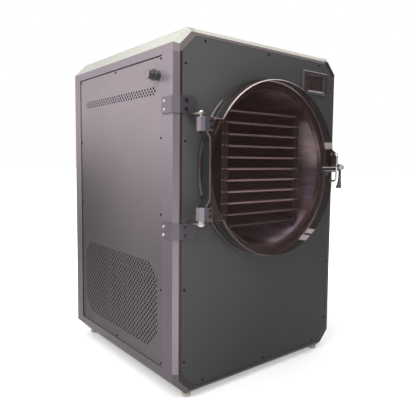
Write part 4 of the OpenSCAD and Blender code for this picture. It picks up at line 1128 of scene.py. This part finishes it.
obj_from_bm("port_hex", bm, M["port"], "cabinet", 25, "port_nut")
bm = bmesh.new()
prof = [(7.1, -13.1), (8.6, -13.1), (9, -13.5), (9, -17), (8.7, -17.3), (8.7, -18.2), (9, -18.5), (9, -24.2), (9.6, -25.0), (10.6, -25.8), (11, -26.4), (11, -27.3),
        (10.4, -28), (8.2, -28), (7.8, -27.4), (0, -27.4)]
revolve(bm, prof, (0, VY, VZ), (1, 0, 0), 72, [0] * 11 + [1] * 4, closed=False)
revolve(bm, [(0, -24.1), (7.1, -24.1), (7.1, -13.1)], (0, VY, VZ), (1, 0, 0), 72, 0, closed=False)
obj_from_bm("port_end_cap", bm, [M["port"], M["cap_face"]], "cabinet", 35, "port_cap")

# ------------------------------------------------------------------ feet
bm = bmesh.new()
for x in (47.0, W - 47.0):
    for y in (22.0, D - 22.0):
        revolve(bm, [(0, -12), (8.6, -12), (9.6, -11.5), (10, -10.6), (10, -4.4), (9.4, -3.3), (8, -2.6), (8, 0), (0, 0)], (x, y, 0), (0, 0, 1), 56, [0, 0, 0, 0, 0, 0, 1, 1], closed=False)
obj_from_bm("foot_pads", bm, [M["foot"], M["steel"]], "cabinet", 40, "feet")

# ------------------------------------------------------------------ rear services
skin("power_inlet", [M["black_plastic"]], None, 0.8, 3, shortest=2.0)
skin("power_switch", [M["red"]], None, 0.5, 2, shortest=3.0)
skin("inlet_pins", [M["brass"]], None, 0.35, 2)
DX, DZ, VALY = 270.0, 90.0, D + 14
bm = bmesh.new()
revolve(bm, [(4, D + 0.6), (13.2, D + 0.6), (14, D + 1.4), (14, D + 6.2), (13.2, D + 7), (11, D + 7.2), (11, D + 18.6), (13.2, D + 19), (14, D + 19.8), (14, D + 24.2), (13.2, D + 25),
             (7.5, D + 25.2), (7.5, D + 27), (6.0, D + 28), (6.3, D + 31), (7, D + 31.6), (6, D + 35), (7, D + 35.6), (6, D + 39), (7, D + 39.6), (5.6, D + 44.5), (5.2, D + 46), (4, D + 46)],
        (DX, 0, DZ), (0, 1, 0), 60, 0, hexes=(1, 2, 3, 4, 7, 8, 9, 10))
revolve(bm, [(3.1, 8), (6, 8), (6, 13.4), (5.4, 14), (5.4, 17.4), (4.8, 18), (3.1, 18)], (DX, VALY, DZ), (0, 0, 1), 40)
obj_from_bm("valve_body", bm, M["brass"], node_body("drain_valve"), 30, "drain_valve")
bm = bmesh.new()
lev = []
for q in range(0, 25):
    a = math.radians(70 + 220 * q / 24)
    lev.append((DX + 8 * math.cos(a), VALY + 8 * math.sin(a)))
lev += [(DX + 6, VALY - 5)]
lev2 = [(DX + 40, VALY - 5)]
for q in range(0, 13):
    a = math.radians(-90 + 180 * q / 12)
    lev2.append((DX + 44 + 5 * math.cos(a), VALY + 5 * math.sin(a)))
prism(bm, fillet(lev + lev2 + [(DX + 6, VALY + 5)], [0] * len(lev) + [0] * len(lev2) + [2], 3), DZ + 18.4, DZ + 21.4, "xy", 0)
bevel_all(bm, 0.9, 3, 50)
revolve(bm, [(0, DZ + 9), (3, DZ + 9), (3, DZ + 18.6), (0, DZ + 18.6)], (DX, VALY, 0), (0, 0, 1), 32, 1, closed=False)
obj_from_bm("valve_handle", bm, [M["dip"], M["steel"]], node_body("drain_lever"), 35, "drain_lever")

# ------------------------------------------------------------------ refrigeration set
bm = bmesh.new()
cp = [(0, 0), (60, 0)]
for q in range(0, 9):
    a = math.radians(-90 + 90 * q / 8)
    cp.append((59 + 25 * math.cos(a), 25 + 25 * math.sin(a)))
cp += [(84, 81), (85, 81.6), (87, 82), (87.6, 83), (87.6, 87), (87, 88), (85, 88.4), (84, 89)]
for q in range(0, 9):
    a = math.radians(90 * q / 8)
    cp.append((34 + 50 * math.cos(a), 108 + 50 * math.sin(a)))
cp += [(0, 158)]
revolve(bm, cp, (372, 345, 30.7), (0, 0, 1), 96, closed=False)
obj_from_bm("compressor_shell", bm, M["comp"], "cabinet", 40)
helix = []
for i in range(0, 7 * 72 + 1):
    a = math.radians(i * 5)
    helix.append((XC + 204.6 * math.cos(a), 112 + 31 * i / 72, ZC + 204.6 * math.sin(a)))
tube("coil_tube", helix, 5.0, M["copper"], "cabinet", "evaporator_coil", 3)

# ------------------------------------------------------------------ stage and light


def area(name, loc, target, size, power, color=(1, 1, 1), size_y=None, spread=180.0):
    l = bpy.data.lights.new(name, "AREA")
    l.energy = power
    l.color = color
    l.shape = "RECTANGLE" if size_y else "SQUARE"
    l.size = size
    if size_y:
        l.size_y = size_y
    l.spread = math.radians(spread)
    o = bpy.data.objects.new(name, l)
    scene.collection.objects.link(o)
    o.location = loc
    o.rotation_euler = (Vector(target) - Vector(loc)).to_track_quat("-Z", "Y").to_euler()
    return o


def math_node(nt, op, a, b=None, clamp=False):
    m = nt.nodes.new("ShaderNodeMath")
    m.operation = op
    m.use_clamp = clamp
    for i, v in enumerate((a, b)):
        if v is None:
            continue
        if isinstance(v, (float, int)):
            m.inputs[i].default_value = v
        else:
            nt.links.new(v, m.inputs[i])
    return m.outputs[0]


def weighted(nt, vec, wx, wy, wz):
    sp = nt.nodes.new("ShaderNodeSeparateXYZ")
    nt.links.new(vec, sp.inputs[0])
    ax = math_node(nt, "MULTIPLY", sp.outputs[0], wx)
    ay = math_node(nt, "MULTIPLY", sp.outputs[1], wy)
    az = math_node(nt, "MULTIPLY", sp.outputs[2], wz)
    return math_node(nt, "ADD", math_node(nt, "ADD", ax, ay), az)


# A pale sweep: it runs into white away from the machine, and its near left part is the brightest to reflections.
FLOOR_NEAR, FLOOR_FRONT = 0.42, 0.55
fm, fnt, fb, fout = new_mat("studio_floor")
fv = coords(fnt)
fnt.links.new(ramp(fnt, noise(fnt, fv, 1.2, 3.0), [(0.3, (0.86, 0.86, 0.86)), (0.7, (0.89, 0.89, 0.89))]), fb.inputs["Base Color"])
fb.inputs["Roughness"].default_value = 0.8
flen = fnt.nodes.new("ShaderNodeVectorMath")
flen.operation = "LENGTH"
fnt.links.new(fv, flen.inputs[0])
far = maprange(fnt, flen.outputs["Value"], 0.45, 1.15, FLOOR_NEAR, 1.0)
refl = maprange(fnt, weighted(fnt, fv, -0.45, -0.9, 0.0), 0.45, 1.3, 0.0, FLOOR_FRONT)
flp = fnt.nodes.new("ShaderNodeLightPath")
fmx = fnt.nodes.new("ShaderNodeMix")
fmx.data_type = "FLOAT"
fnt.links.new(flp.outputs["Is Camera Ray"], fmx.inputs[0])
fnt.links.new(refl, fmx.inputs[2])
fnt.links.new(far, fmx.inputs[3])
fe = fnt.nodes.new("ShaderNodeEmission")
fnt.links.new(fmx.outputs[0], fe.inputs["Strength"])
fadd = fnt.nodes.new("ShaderNodeAddShader")
fnt.links.new(fb.outputs[0], fadd.inputs[0])
fnt.links.new(fe.outputs[0], fadd.inputs[1])
fnt.links.new(fadd.outputs[0], fout.inputs[0])
me = bpy.data.meshes.new("studio_floor")
bm = bmesh.new()
bmesh.ops.create_grid(bm, x_segments=2, y_segments=2, size=30.0)
bm.to_mesh(me)
bm.free()
floor = bpy.data.objects.new("studio_floor", me)
me.materials.append(fm)
scene.collection.objects.link(floor)
floor.location = (0, 0, -0.0005)

world = bpy.data.worlds.new("studio")
scene.world = world
world.use_nodes = True
wnt = world.node_tree
wnt.nodes.clear()
wo = wnt.nodes.new("ShaderNodeOutputWorld")
wb = wnt.nodes.new("ShaderNodeBackground")
wb.inputs[0].default_value = (1, 1, 1, 1)
wt = wnt.nodes.new("ShaderNodeTexCoord")
sky = maprange(wnt, weighted(wnt, wt.outputs["Generated"], -0.80, 0.20, 0.50), 0.0, 0.85, 0.10, 0.95)
wnt.links.new(sky, wb.inputs[1])
wc = wnt.nodes.new("ShaderNodeBackground")
wc.inputs[0].default_value = (1, 1, 1, 1)
wc.inputs[1].default_value = 1.0
lp = wnt.nodes.new("ShaderNodeLightPath")
wm = wnt.nodes.new("ShaderNodeMixShader")
wnt.links.new(lp.outputs["Is Camera Ray"], wm.inputs[0])
wnt.links.new(wb.outputs[0], wm.inputs[1])
wnt.links.new(wc.outputs[0], wm.inputs[2])
wnt.links.new(wm.outputs[0], wo.inputs[0])

area("key", (-1.25, -0.75, 1.75), (-0.25, -0.2, 0.68), 0.8, 15)
area("front", (-0.35, -1.5, 1.95), (-0.02, -0.25, 0.62), 0.9, 9)
area("top", (-0.4, 0.4, 2.2), (-0.1, 0.0, 0.7), 1.2, 8)
area("rear", (1.0, 1.8, 1.5), (0.1, 0.1, 0.4), 1.2, 10)
area("right", (2.2, 0.4, 1.2), (0.2, 0.0, 0.4), 1.0, 9)

# ------------------------------------------------------------------ view layer update
bpy.context.view_layer.update()
